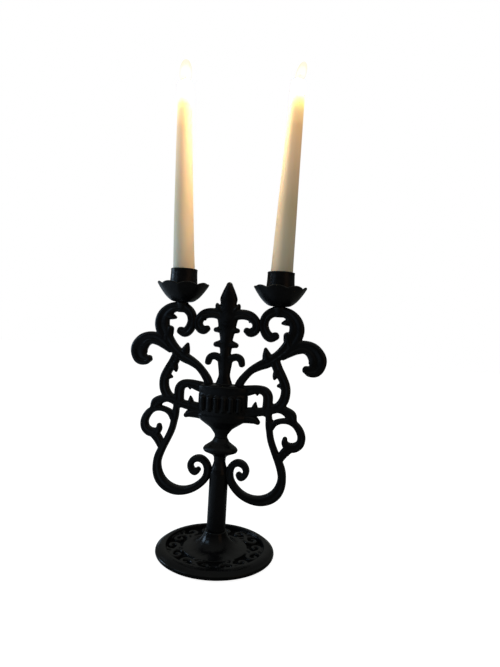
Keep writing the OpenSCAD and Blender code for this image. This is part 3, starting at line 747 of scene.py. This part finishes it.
middle = joined("stem_and_urn", [
    grown(paths("shaft", [SHAFT], upright), SCROLLS, BAR | {"Groove": -0.12, "Roundness": 0.8}),
    *(grown(paths("middle_bars", side_rows(MIDDLE_BARS, side), upright, side), SCROLLS, BAR) for side in (1, -1)),
    *(grown(paths("middle_leaves", side_rows(MIDDLE_LEAVES, side), upright, side), SCROLLS, LEAF) for side in (1, -1)),
    *turned_parts,
    ribs,
])
print("the middle has", triangles(middle), "triangles before it is cast")

# %% [markdown]
# ## Casting it
# On the real object the bars, leaves and urn are one piece of iron, with a small soft fillet in
# every corner. We get the same by a voxel remesh, which melts overlapping shapes into one skin,
# and a little smoothing, which rounds what sand would round. Smoothing also makes thin bars
# thinner, so at the end the skin swells by the thickness of a coat of paint.

# %% Cast the three pieces
def smooth_shaded(piece):
    piece.data.shade_smooth()
    return piece


def cast(piece, voxel, rounds, paint):
    """Melts a piece into one skin, smooths it and swells it by a coat of paint. voxel and paint are in mm."""
    remesh = piece.modifiers.new("melt", "REMESH")
    remesh.mode = "VOXEL"
    remesh.voxel_size = voxel * MM
    soften = piece.modifiers.new("soften", "SMOOTH")
    soften.factor = 0.5
    soften.iterations = rounds
    swell = piece.modifiers.new("swell", "DISPLACE")
    swell.strength = paint * MM
    swell.mid_level = 0.0
    material = piece.data.materials[0]
    baked(piece)
    piece.data.materials.clear()
    piece.data.materials.append(material)
    return smooth_shaded(piece)


for piece in (scrolls_left, scrolls_right, middle):
    cast(piece, voxel=0.7, rounds=3, paint=0.25)
    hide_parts("openwork_stem")
    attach(piece, "stand")
    print(piece.name, triangles(piece), "triangles")

# %% [markdown]
# ## The base
# The base is turned too: a flared cone, a flange, a sunk ring and a rolled rim, hollow below. Its
# outline starts from the box of the frame's own base, and most of its steps are shares of the rim's
# radius and height. The floor of the ring is sunk 1.1 mm deeper than in the solid, so that the
# relief on it throws a clear shadow.

# %% Turn the base
base_low, base_high = (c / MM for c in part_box("base_plate"))
RIM, PAD, TOP = base_high.x, base_low.z, base_high.z
RIM_W, RIM_H, PLATE = 12, 8.6, 2.6
BOSS_R, BOLT_HOLE_R = 12.2, 4.2
SPIGOT_R, SPIGOT_DEEP = 6.6, 5.2
GROUND_SUNK = 1.1
trough_out, flange, cone = RIM - RIM_W, RIM * 0.545, RIM * 0.45
trough_z = PAD + RIM_H * 0.42
ground_z = trough_z - GROUND_SUNK
flange_z = trough_z + RIM_H * 0.24
cone_z = flange_z + RIM_H * 0.12
hollow = trough_out - PLATE
cone_top = STEM_R * 1.16
roll = RIM_H * 0.32


def bend(points, steps):
    """A curve that leaves the first point towards the second and arrives at the third."""
    a, b, c = (Vector(p) for p in points)
    return [a * (1 - t) ** 2 + 2 * b * t * (1 - t) + c * t * t for t in (i / steps for i in range(steps + 1))]


def arc(x, z, r, start, end, steps):
    """Points on a circle about (x, z), between two angles in degrees."""
    angles = [math.radians(start + (end - start) * i / steps) for i in range(steps + 1)]
    return [(x + r * math.cos(a), z + r * math.sin(a)) for a in angles]


rim_line = [(hollow, PAD)] + arc(RIM - roll, PAD + roll, roll, -75, 35, 10)
rim_line += arc(RIM - RIM_W * 0.8, PAD - RIM_H * 0.16, RIM_H * 1.16, 43, 97, 12)
ring_line = [(trough_out, ground_z), (flange + 0.5, ground_z), (flange, flange_z), (cone, cone_z)]
cone_line = bend([(cone, cone_z), (cone_top * 1.35, cone_z + 2.9), (cone_top, TOP)], 14)[1:]
bore_line = [(SPIGOT_R, TOP), (SPIGOT_R, TOP - SPIGOT_DEEP), (BOLT_HOLE_R, TOP - SPIGOT_DEEP),
             (BOLT_HOLE_R, PAD + RIM_H), (BOSS_R, PAD + RIM_H)]
under_line = [(cone - PLATE, flange_z - PLATE), (flange, trough_z - PLATE), (hollow, trough_z - PLATE), (hollow, PAD)]
base = turned("base", rim_line + ring_line + cone_line + bore_line + under_line, 160, IRON_RELIEF)
print(f"the base is {2 * RIM:.1f} mm across")

# %% [markdown]
# ## The vine on the base
# In the ring lies a vine in relief, seven scrolls long. Each scroll is an S with curled ends and a
# few lobed leaves. It is drawn once, as shares of the ring's width, and laid flat with the scroll
# tree, whose thickness now points upwards. The scrolls come out soft and round, without a groove.

# %% Grow the relief and cast the base
ring_w = trough_out - flange
ring_r = (trough_out + flange) / 2
S_SCROLL = [(-0.5, -0.06, 0.08), (-0.58, -0.2, 0.1), (-0.76, -0.22, 0.11), (-0.9, -0.06, 0.12), (-0.86, 0.17, 0.13),
            (-0.64, 0.3, 0.14), (-0.36, 0.26, 0.14), (-0.14, 0.11, 0.14), (0, 0, 0.14)]
S_SCROLL += [(-a, -b, w) for a, b, w in reversed(S_SCROLL[:-1])]
LOBES = [[(-0.08, 0.08, 0.11), (0.06, 0.24, 0.11), (0.16, 0.4, 0.1), (0.34, 0.44, 0.07)],
         [(-0.4, 0.28, 0.12), (-0.22, 0.42, 0.1), (-0.08, 0.46, 0.06)]]
LOBES += [[(-a, -b, w) for a, b, w in row] for row in LOBES]
SCROLL_COUNT, BROADER = 7, 1.12
RELIEF = {"Material": IRON_RELIEF, "Face": (0.0, 0.0, 1.0), "Half thickness": 2.2 * MM, "Full from": 1.2 * MM,
          "Step": 0.7 * MM, "Groove": 0.0, "Roundness": 0.45}


def flat_on_ring(turn):
    """Lays a scroll's two numbers, along the ring and towards its middle, on the floor of the ring."""
    c, s = math.cos(turn), math.sin(turn)

    def lay(along, inward):
        x, y = ring_r - inward, along
        return (x * c - y * s, x * s + y * c, trough_z)
    return lay


relief = []
for k in range(SCROLL_COUNT):
    rows = [[(a * ring_w, b * ring_w, w * ring_w * BROADER) for a, b, w in row] for row in [S_SCROLL] + LOBES]
    lay = flat_on_ring(2 * math.pi * k / SCROLL_COUNT)
    relief.append(grown(paths(f"relief_{k}", rows, lay), SCROLLS, RELIEF))
base = cast(joined("base", [base] + relief), voxel=0.66, rounds=2, paint=0.1)
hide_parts("base_plate")
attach(base, "stand")
print("base", triangles(base), "triangles")

# %% [markdown]
# ## The drip pans
# Each pan is a shallow bowl whose rim is cut into eight petals. A petal's top is a flat arc, and a
# faint crease runs down from each gap. We lay a grid that goes round and up, end each line of it on
# the petal's edge, give it a wall with Solidify, and round the edge with Subdivision Surface. The
# wall is drawn a bit thinner than in the solid, which gives the petals a finer edge.
# The pans are screwed on by hand, so the left one is turned a little.

# %% Shape the drip pans
PAN_R, PAN_H, WALL, PETALS, GAP = 28, 20.5, 2.2, 8, 3.0
CREASE, WALL_DRAWN = 0.5, 0.85
PAN_TURN = {"left": math.radians(-17), "right": 0}
PAN_LINE = [(0.12, 0), (0.29, 0), (0.42, 0.04), (0.56, 0.17), (0.68, 0.33), (0.8, 0.54), (0.91, 0.77), (1, 1)]
LINES_PER_PETAL = 16


def smooth_row(row, steps):
    """A row of points with more of them along the smooth curve that goes through them all."""
    points = [Vector(p) for p in row]
    out = []
    for i in range(len(points) - 1):
        a, b, c, d = (points[min(max(j, 0), len(points) - 1)] for j in (i - 1, i, i + 1, i + 2))
        for k in range(steps):
            t = k / steps
            bow, twist = 2 * a - 5 * b + 4 * c - d, 3 * b - a - 3 * c + d
            out.append((2 * b + (c - a) * t + bow * t ** 2 + twist * t ** 3) / 2)
    return out + [points[-1]]


def petal_drop(angle):
    """How far the rim lies under the petals' crests at an angle."""
    pitch = 2 * math.pi / PETALS
    off = PAN_R * math.sin(abs((angle + pitch / 2) % pitch - pitch / 2))
    half = PAN_R * math.sin(pitch / 2)
    r = (half * half + GAP * GAP) / (2 * GAP)
    return r - math.sqrt(r * r - off * off)


def drip_pan(name, side, turn):
    line = smooth_row([(r * PAN_R, z * PAN_H) for r, z in PAN_LINE], 4)
    around = LINES_PER_PETAL * PETALS
    points, faces = [], []
    for k in range(around):
        a = 2 * math.pi * k / around
        drop = petal_drop(a)
        for r, z in line:
            share = z / PAN_H
            reach = r - CREASE * share * share * (drop / GAP) ** 2
            up = SEAT + z - drop * share ** 3
            points.append((PAN_X[side] + reach * math.cos(a + turn), reach * math.sin(a + turn), up))
    rows = len(line)
    for k in range(around):
        n = (k + 1) % around
        faces += [(k * rows + i, n * rows + i, n * rows + i + 1, k * rows + i + 1) for i in range(rows - 1)]
    pan = outward(piece_from(name, points, faces, IRON))
    wall = pan.modifiers.new("wall", "SOLIDIFY")
    wall.thickness = WALL * WALL_DRAWN * MM
    wall.offset = 1.0
    edge = pan.modifiers.new("edge", "SUBSURF")
    edge.levels = edge.render_levels = 1
    return smooth_shaded(baked(pan))


for name, side in SIDES.items():
    pan = drip_pan("pan_" + name, side, PAN_TURN[name])
    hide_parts("drip_pan_" + name)
    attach(pan, "stand")
    low, high = (Vector(c) / MM for c in (pan.bound_box[0], pan.bound_box[6]))
    print(pan.name, triangles(pan), "triangles, from", [round(v, 1) for v in low], "to", [round(v, 1) for v in high])

# %% [markdown]
# ## The cups
# A cup is a plain turned socket with a round belly at its foot and a slightly rolled lip. We turn
# its whole wall, outside, lip, bore and floor, so that it is closed and can be looked into. In its
# floor sits the hole for the screw, with a wider one for the screw's head.

# %% Turn the cups
CUP_R, CUP_H, BORE_R, BORE = 14.3, 33.5, 12.2, 25
HOLE_R, HEAD_R, HEAD_Z = 2.75, 4.5, 5.25
FLOOR_Z = CUP_H - BORE
CUP_SHARES = [(0.62, 0), (0.84, 0.05), (0.98, 0.17), (1.05, 0.32), (1.05, 0.45), (1.01, 0.7), (0.99, 0.91), (1.0, 0.96)]
CUP_LINE = [(r * CUP_R, z * CUP_H) for r, z in CUP_SHARES]
LIP = [(14.3, 33.0), (13.8, 33.5), (13.0, 33.5), (12.4, 33.1), (BORE_R, 32.4)]
INSIDE = [(BORE_R, FLOOR_Z + 0.6), (BORE_R - 0.6, FLOOR_Z), (HEAD_R, FLOOR_Z), (HEAD_R, HEAD_Z), (HOLE_R, HEAD_Z),
          (HOLE_R, 0)]


def cup(name, side):
    outer = [(HOLE_R, 0)] + [tuple(p) for p in smooth_row(CUP_LINE, 4)]
    piece = turned(name, outer + LIP + INSIDE, 72, IRON)
    piece.data.transform(Matrix.Translation(Vector((PAN_X[side], 0, SEAT + WALL)) * MM))
    bevel = piece.modifiers.new("edge", "BEVEL")
    bevel.width = 0.25 * MM
    bevel.segments = 2
    bevel.limit_method = "ANGLE"
    bevel.angle_limit = math.radians(40)
    return smooth_shaded(baked(piece))


for name, side in SIDES.items():
    piece = cup("cup_" + name, side)
    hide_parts("candle_cup_" + name)
    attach(piece, "stand")
print("cups", triangles(piece), "triangles each")

# %% [markdown]
# ## Where the candles stand
# A candle is drawn upright, with its heights counted from the mouth of its cup, and then leaned
# over about that point. Its middle line is never quite straight: it is nudged aside, bowed, and
# its warm top droops a little. The two candles are also not equally tall, as both have burnt.

# %% Lean and bow
MOUTH = SEAT + WALL + CUP_H
CANDLE_UP = 199
LEAN = {"left": 2.9, "right": 1.4}
TALLER = {"left": 2.5, "right": -0.8}
BOW = {"left": (-0.5, -0.6, 0.4), "right": (0.5, 0.2, 1.7)}


def leaning(name):
    """Puts what is drawn upright over the mouth of its cup, and leans it outwards."""
    side = SIDES[name]
    return (Matrix.Translation(Vector((PAN_X[side], 0, MOUTH)) * MM)
            @ Matrix.Rotation(math.radians(side * LEAN[name]), 4, "Y"))


def bowed(name, height):
    """How far aside the candle's middle line lies at a height: a nudge, a bow and a droop of its top."""
    nudge, bow, droop = BOW[name]
    t = max(0, height / CANDLE_UP)
    return nudge + bow * 4 * t * (1 - t) + droop * t * t


print("the right candle's top lies", round(bowed("right", CANDLE_UP), 1), "mm aside of a straight one's")

# %% [markdown]
# ## The candles
# A taper candle is dipped, so it narrows steadily and its side is never perfectly smooth. Its top
# has melted into a soft rim round a shallow pool. We turn the profile, let a slow noise move the
# side by up to a fifth of a millimetre, and let the rim rise and fall. Its foot is cut narrower, so
# that a leaning candle still stands in an upright bore.

# %% Draw a candle
FOOT_R, SIDE_R, TOP_R = 10.2, 11.6, 7.5
FOOT_CLEAR, FOOT_EDGE = 0.05, 0.8
SHRINK, UNEVEN = 0.35, 0.22
WAVES_AROUND, WAVES_UP = 40, 14
MELTED = 7
MELTED_RIM = [(7.5, -5.5), (7.35, -3.2), (6.8, -1.6), (5.8, -0.6), (4.7, -0.3), (3.6, -0.8), (2.2, -1.6), (0, -1.9)]
foot_deep = BORE - FOOT_CLEAR - FOOT_R * math.sin(math.radians(max(LEAN.values())))


def candle_profile(top):
    line = [(0, -foot_deep), (FOOT_R - FOOT_EDGE, -foot_deep), (FOOT_R, -foot_deep + FOOT_EDGE), (SIDE_R, 2)]
    line += [(SIDE_R + (TOP_R - SIDE_R) * t, 2 + (top - 12) * t) for t in (i / 24 for i in range(1, 25))]
    return line + [(r, top + z) for r, z in MELTED_RIM]


def candle(name, seed):
    top = CANDLE_UP + TALLER[name]
    piece = turned("candle_wax_" + name, candle_profile(top), 64, WAX[name])
    for v in piece.data.vertices:
        height = v.co.z / MM
        flat = Vector((v.co.x, v.co.y, 0))
        slow = noise.noise(Vector((v.co.x * WAVES_AROUND, v.co.y * WAVES_AROUND, v.co.z * WAVES_UP + seed)))
        if height > 3 and flat.length > 0:
            v.co += flat.normalized() * (slow - SHRINK) * UNEVEN * MM
        if height > top - MELTED:
            around = math.atan2(v.co.y, v.co.x)
            wave = math.sin(around + seed) * 0.5 + math.sin(2 * around + 2 * seed) * 0.25 - 0.5
            v.co.z += wave * MM * (height - top + MELTED) / MELTED
        v.co.x += bowed(name, height) * MM
    piece.data.transform(leaning(name))
    return smooth_shaded(piece)


print(f"a candle's foot stands {foot_deep:.1f} mm down in its bore")

# %% [markdown]
# ## The wicks
# A wick is plaited cotton, black and thin at its burnt end, and it curls over as it burns. Three
# strands that wind round each other look the same at this size. Each is a path, and a small
# Geometry Nodes tree puts a round strand along it. Then we make both candles, each with its wick.

# %% Twist the wicks and make the candles
STRANDS, STRAND_APART = 3, 0.42
WICK_STEPS, STEPS_PER_TURN = 30, 15
WICK_FOOT, WICK_LONG, WICK_CURL = 2.5, 10.2, 0.9


def strand_tree():
    """A round strand along each path, with a thinner, burnt end."""
    tree, given = node_tree("cotton_strand", [("Radius", "NodeSocketFloat", 0.44 * MM),
                                              ("Material", "NodeSocketMaterial", None)])
    path = add(tree, "GeometryNodeMeshToCurve", {"Mesh": given["Geometry"]})
    share = add(tree, "GeometryNodeSplineParameter").outputs["Factor"]
    burnt = add(tree, MATH, (share, 6.0), operation="POWER")
    burnt = add(tree, MATH, (burnt, 0.6), operation="MULTIPLY")
    thin = add(tree, MATH, (1.0, burnt), operation="SUBTRACT")
    path = add(tree, "GeometryNodeSetCurveRadius", {"Curve": path, "Radius": thin})
    ring = add(tree, "GeometryNodeCurvePrimitiveCircle", {"Resolution": 10, "Radius": given["Radius"]}, mode="RADIUS")
    tube = add(tree, "GeometryNodeCurveToMesh", {"Curve": path, "Profile Curve": ring, "Fill Caps": True})
    return ended(tree, tube, given["Material"])


STRAND = strand_tree()


def wick(name):
    """Three strands of cotton that twist round each other, and bend a little at the burnt end."""
    points, edges = [], []
    for strand in range(STRANDS):
        for i in range(WICK_STEPS + 1):
            turn = 2 * math.pi * (strand / STRANDS + i / STEPS_PER_TURN)
            aside = bowed(name, CANDLE_UP) + WICK_CURL * (i / WICK_STEPS) ** 2
            up = CANDLE_UP + TALLER[name] - WICK_FOOT + WICK_LONG * i / WICK_STEPS
            points.append((aside + STRAND_APART * math.cos(turn), STRAND_APART * math.sin(turn), up))
            if i > 0:
                edges.append((len(points) - 2, len(points) - 1))
    piece = grown(piece_from("wick_cotton_" + name, points, edges=edges), STRAND, {"Material": CHAR})
    piece.data.transform(leaning(name))
    return smooth_shaded(piece)


for name, seed in (("left", 1.7), ("right", 4.1)):
    for piece, node, slot in ((candle(name, seed), "candle_", "wax"), (wick(name), "wick_", "wick")):
        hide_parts(node + name)
        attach(piece, "candle_" + name)
        print(piece.name, triangles(piece), "triangles")

# %% [markdown]
# ## What a flame is made of
# A flame is light, not matter, so its material has no surface. It emits light, mixed by height with
# a transparent shader. A row of greys says how much the light covers what is behind it. Two shells
# make one flame: a wide, faint veil, and in it a core that is nearly white and fades to its tip.

# %% Mix light with clear air
FLAME_H = 25
FLAME_SIZE = {"left": 1.0, "right": 0.8}
VEIL = {"left": "#505050", "right": "#747474"}
CORE_WIDTH, CORE_HEIGHT = 0.78, 0.8


def flame_glow(name, foot, height, colours, strength, cover):
    """Light whose colour and cover change from the foot of the flame to its tip."""
    material = bpy.data.materials.new(name)
    material.use_nodes = True
    tree = material.node_tree
    tree.nodes.clear()
    up = add(tree, "ShaderNodeSeparateXYZ", [add(tree, "ShaderNodeTexCoord").outputs["Object"]]).outputs["Z"]
    share = add(tree, "ShaderNodeMapRange", {"Value": up, "From Min": foot, "From Max": foot + height})
    colour = add(tree, "ShaderNodeValToRGB", [share], colours)
    light = add(tree, "ShaderNodeEmission", {"Color": colour, "Strength": strength})
    seen = add(tree, "ShaderNodeValToRGB", [share], cover)
    mixed = add(tree, "ShaderNodeMixShader", (seen, add(tree, "ShaderNodeBsdfTransparent"), light))
    add(tree, "ShaderNodeOutputMaterial", {"Surface": mixed})
    return material


def shells(name, foot):
    """The veil and the core of one flame: piece name, width, height and material."""
    high = FLAME_H * FLAME_SIZE[name] * MM
    veil = flame_glow("flame_veil_" + name, foot, high,
                      [(0.0, "#FFE2A6"), (0.4, "#FFF7CC"), (0.75, "#FFF6AE"), (1.0, "#FFF092")], 1.0,
                      [(0.0, VEIL[name]), (0.5, VEIL[name]), (0.85, "#8A8A8A"), (1.0, "#606060")])
    core = flame_glow("flame_core_" + name, foot, high, [(0.0, "#FFF4D8"), (0.3, "#FFFFF8"), (0.8, "#FFFFF0")], 1.15,
                      [(0.0, "#F0F0F0"), (0.6, "#F6F6F6"), (0.8, "#A0A0A0")])
    return (("flame_" + name, 1, 1, veil), ("flame_core_" + name, CORE_WIDTH, CORE_HEIGHT, core))


print("flames are", [FLAME_H * size for size in FLAME_SIZE.values()], "mm tall")

# %% [markdown]
# ## The flames
# Flames rise straight up even from a leaning candle. We turn a drop for each shell and stand it on
# the wick. The left flame burns in still air. The right one is smaller and leans in a draught,
# which a shear gives without turning its foot. A small lamp in each lights the iron from above.

# %% Light the candles
FLAME_LINE = [(0, 0), (3.2, 0.6), (5.6, 3.2), (6.8, 8), (6.9, 12), (6.2, 16.5), (4.7, 20.8), (2.6, 23.8), (0, FLAME_H)]
DRAUGHT = {"left": 0.0, "right": 12.0}
FLAME_SUNK, CORE_LIFT, LAMP_UP = 1.4, 2, 11
drop_line = [tuple(p) for p in smooth_row(FLAME_LINE, 3)]

for name, side in SIDES.items():
    foot = leaning(name) @ (Vector((bowed(name, CANDLE_UP), 0, CANDLE_UP + TALLER[name] - FLAME_SUNK)) * MM)
    blown = Matrix.Shear("XY", 4, (math.tan(math.radians(side * DRAUGHT[name])), 0))
    for piece_name, width, height, glow in shells(name, foot.z):
        flame = turned(piece_name, [(r * width, z * height + (1 - height) * CORE_LIFT) for r, z in drop_line], 32, glow)
        flame.data.transform(Matrix.Translation(foot) @ blown @ Matrix.Scale(FLAME_SIZE[name], 4))
        flame.visible_shadow = False
        smooth_shaded(flame)
        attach(flame, "candle_" + name)
    lamp = bpy.data.lights.new("flame_light_" + name, "POINT")
    lamp.energy = 1.0
    lamp.color = linear("#FFEEC6")[:3]
    lamp.shadow_soft_size = 5 * MM
    put("flame_light_" + name, lamp).location = foot + Vector((0, 0, LAMP_UP * MM))
    print(f"the {name} flame ends {foot.z / MM + FLAME_H * FLAME_SIZE[name]:.0f} mm above the table")

# %% [markdown]
# ## Materials on the nodes that stay
# The pads, the bolt, the washer and the screws have the right shape already, so they only get
# their material.

# %% Dress the remaining nodes
KEPT = {"base_bolt": ZINC, "base_washer": ZINC, "cup_screw_left": ZINC, "cup_screw_right": ZINC,
        "foot_pad_1": FELT, "foot_pad_2": FELT, "foot_pad_3": FELT, "foot_pad_4": FELT}
for node, material in KEPT.items():
    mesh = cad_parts[node].data
    mesh.materials.clear()
    mesh.materials.append(material)
print("dressed", len(KEPT), "nodes")

# %% [markdown]
# ## The floor
# The picture has a plain white ground, yet the iron in it is nearly black, so it stood in a room
# with little light. A white floor would light the iron from below. So the floor has two answers:
# rays from the camera see it white, and all other rays see a grey table with a painted pool of
# daylight at the left, an emission that grows towards the left. The Light Path node tells the rays apart.

# %% Lay the floor
bpy.context.scene.view_settings.view_transform = "Standard"
FLOOR = 3000
DAYLIGHT_FROM, DAYLIGHT_FULL, DAYLIGHT = -50 * MM, -150 * MM, 0.45
corners = [(-FLOOR, -FLOOR, 0), (FLOOR, -FLOOR, 0), (FLOOR, FLOOR, 0), (-FLOOR, FLOOR, 0)]
floor = piece_from("floor", corners, [(0, 1, 2, 3)])
floor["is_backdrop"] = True
ground, tree, shader, place = material_tree("pale_floor")
by_camera = add(tree, "ShaderNodeLightPath").outputs["Is Camera Ray"]
across = add(tree, "ShaderNodeSeparateXYZ", [place]).outputs["X"]
# Painted light: the daylight is an emission on the floor, none at 50 mm left of the middle and full from 150 mm.
daylight = add(tree, "ShaderNodeMapRange", {"Value": across, "From Min": DAYLIGHT_FROM, "From Max": DAYLIGHT_FULL,
                                            "To Min": 0.0, "To Max": DAYLIGHT})
strength = add(tree, "ShaderNodeMix", {0: by_camera, 2: daylight, 3: 0.93})
tint = add(tree, "ShaderNodeMix", {"Factor": by_camera, 6: linear("#B8D4F0"), 7: linear("#FFFFFF")}, data_type="RGBA")
feed(shader, {"Base Color": linear("#9C9C9A"), "Roughness": 0.9, "Specular IOR Level": 0.1,
              "Emission Color": tint.outputs[2], "Emission Strength": strength})
floor.data.materials.append(ground)
print("made", ground.name)

# %% [markdown]
# ## The room
# The world does the same. The camera sees it white. The object sees a dim room that is dark at
# the height of the table and brighter overhead, as a room with a pale ceiling is. In a world, the
# Generated coordinates are the direction that a ray looks in, so its Z goes from the horizon up.

# %% Dim the room
AT_TABLE, OVERHEAD = 0.03, 0.62
world = bpy.data.worlds.new("pale_room")
world.use_nodes = True
bpy.context.scene.world = world
tree = world.node_tree
by_camera = add(tree, "ShaderNodeLightPath").outputs["Is Camera Ray"]
upward = add(tree, "ShaderNodeSeparateXYZ", [add(tree, "ShaderNodeTexCoord").outputs["Generated"]]).outputs["Z"]
dim = add(tree, "ShaderNodeMapRange", {"Value": upward, "To Min": AT_TABLE, "To Max": OVERHEAD})
strength = add(tree, "ShaderNodeMix", {0: by_camera, 2: dim, 3: 1.0})
tint = add(tree, "ShaderNodeMix", {"Factor": by_camera, 6: linear("#F8FCF4"), 7: linear("#FFFFFF")}, data_type="RGBA")
feed(tree.nodes["Background"], {"Color": tint.outputs[2], "Strength": strength})
print("made", world.name)

# %% [markdown]
# ## The lamps
# Two cool windows on the left draw the glints along the iron's edges: one high in front, and one
# low that reaches the rim of the base. A weak warm wall on the right keeps the other side
# readable. Each burning candle also lights the other one from the side. For that, a slim warm panel
# hangs beside each candle and faces the other one. It shows to no camera and in no reflection.

# %% Hang the lamps
def softbox(name, place, aim, size, energy, colour):
    """A square lamp that looks at a point."""
    lamp = bpy.data.lights.new(name, "AREA")
    lamp.size = size
    lamp.energy = energy
    lamp.color = linear(colour)[:3]
    made = put(name, lamp)
    made.location = place
    made.rotation_euler = (Vector(aim) - Vector(place)).to_track_quat("-Z", "Y").to_euler()
    return made


PANEL_INWARD, PANEL_FRONT, PANEL_AIM = 15 * MM, 45 * MM, 52 * MM
softbox("window", (-0.9, -0.6, 0.7), (0, 0, 0.2), 0.3, 2.2, "#B0D4F4")
softbox("low_window", (-1.0, 0.06, 0.28), (0, 0, 0.05), 0.3, 4.0, "#B8D4F0")
softbox("warm_wall", (0.8, -0.5, 0.35), (0, 0, 0.2), 0.5, 0.5, "#FFC89A")
for side, power, middle_z, tall in ((1, 0.08, 0.4, 0.19), (-1, 0.023, 0.43, 0.16)):
    beside = Vector((PAN_X[side] * MM - side * PANEL_INWARD, -PANEL_FRONT, middle_z))
    panel = softbox("wax_glow", beside, (-side * PANEL_AIM, 0, middle_z), 20 * MM, power, "#FFC79E")
    panel.data.shape = "RECTANGLE"
    panel.data.size_y = tall
    panel.visible_camera = panel.visible_glossy = False

# %% [markdown]
# ## Sizes and the end
# The solids and the dressed object must have the same size, so both boxes are printed before
# the frame is finished.

# %% Print the sizes and finish
shown_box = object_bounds()
for label, (low, high) in (("solids", cad_box), ("dressed", shown_box)):
    print(label, [round(v * 1000, 1) for v in low], [round(v * 1000, 1) for v in high])
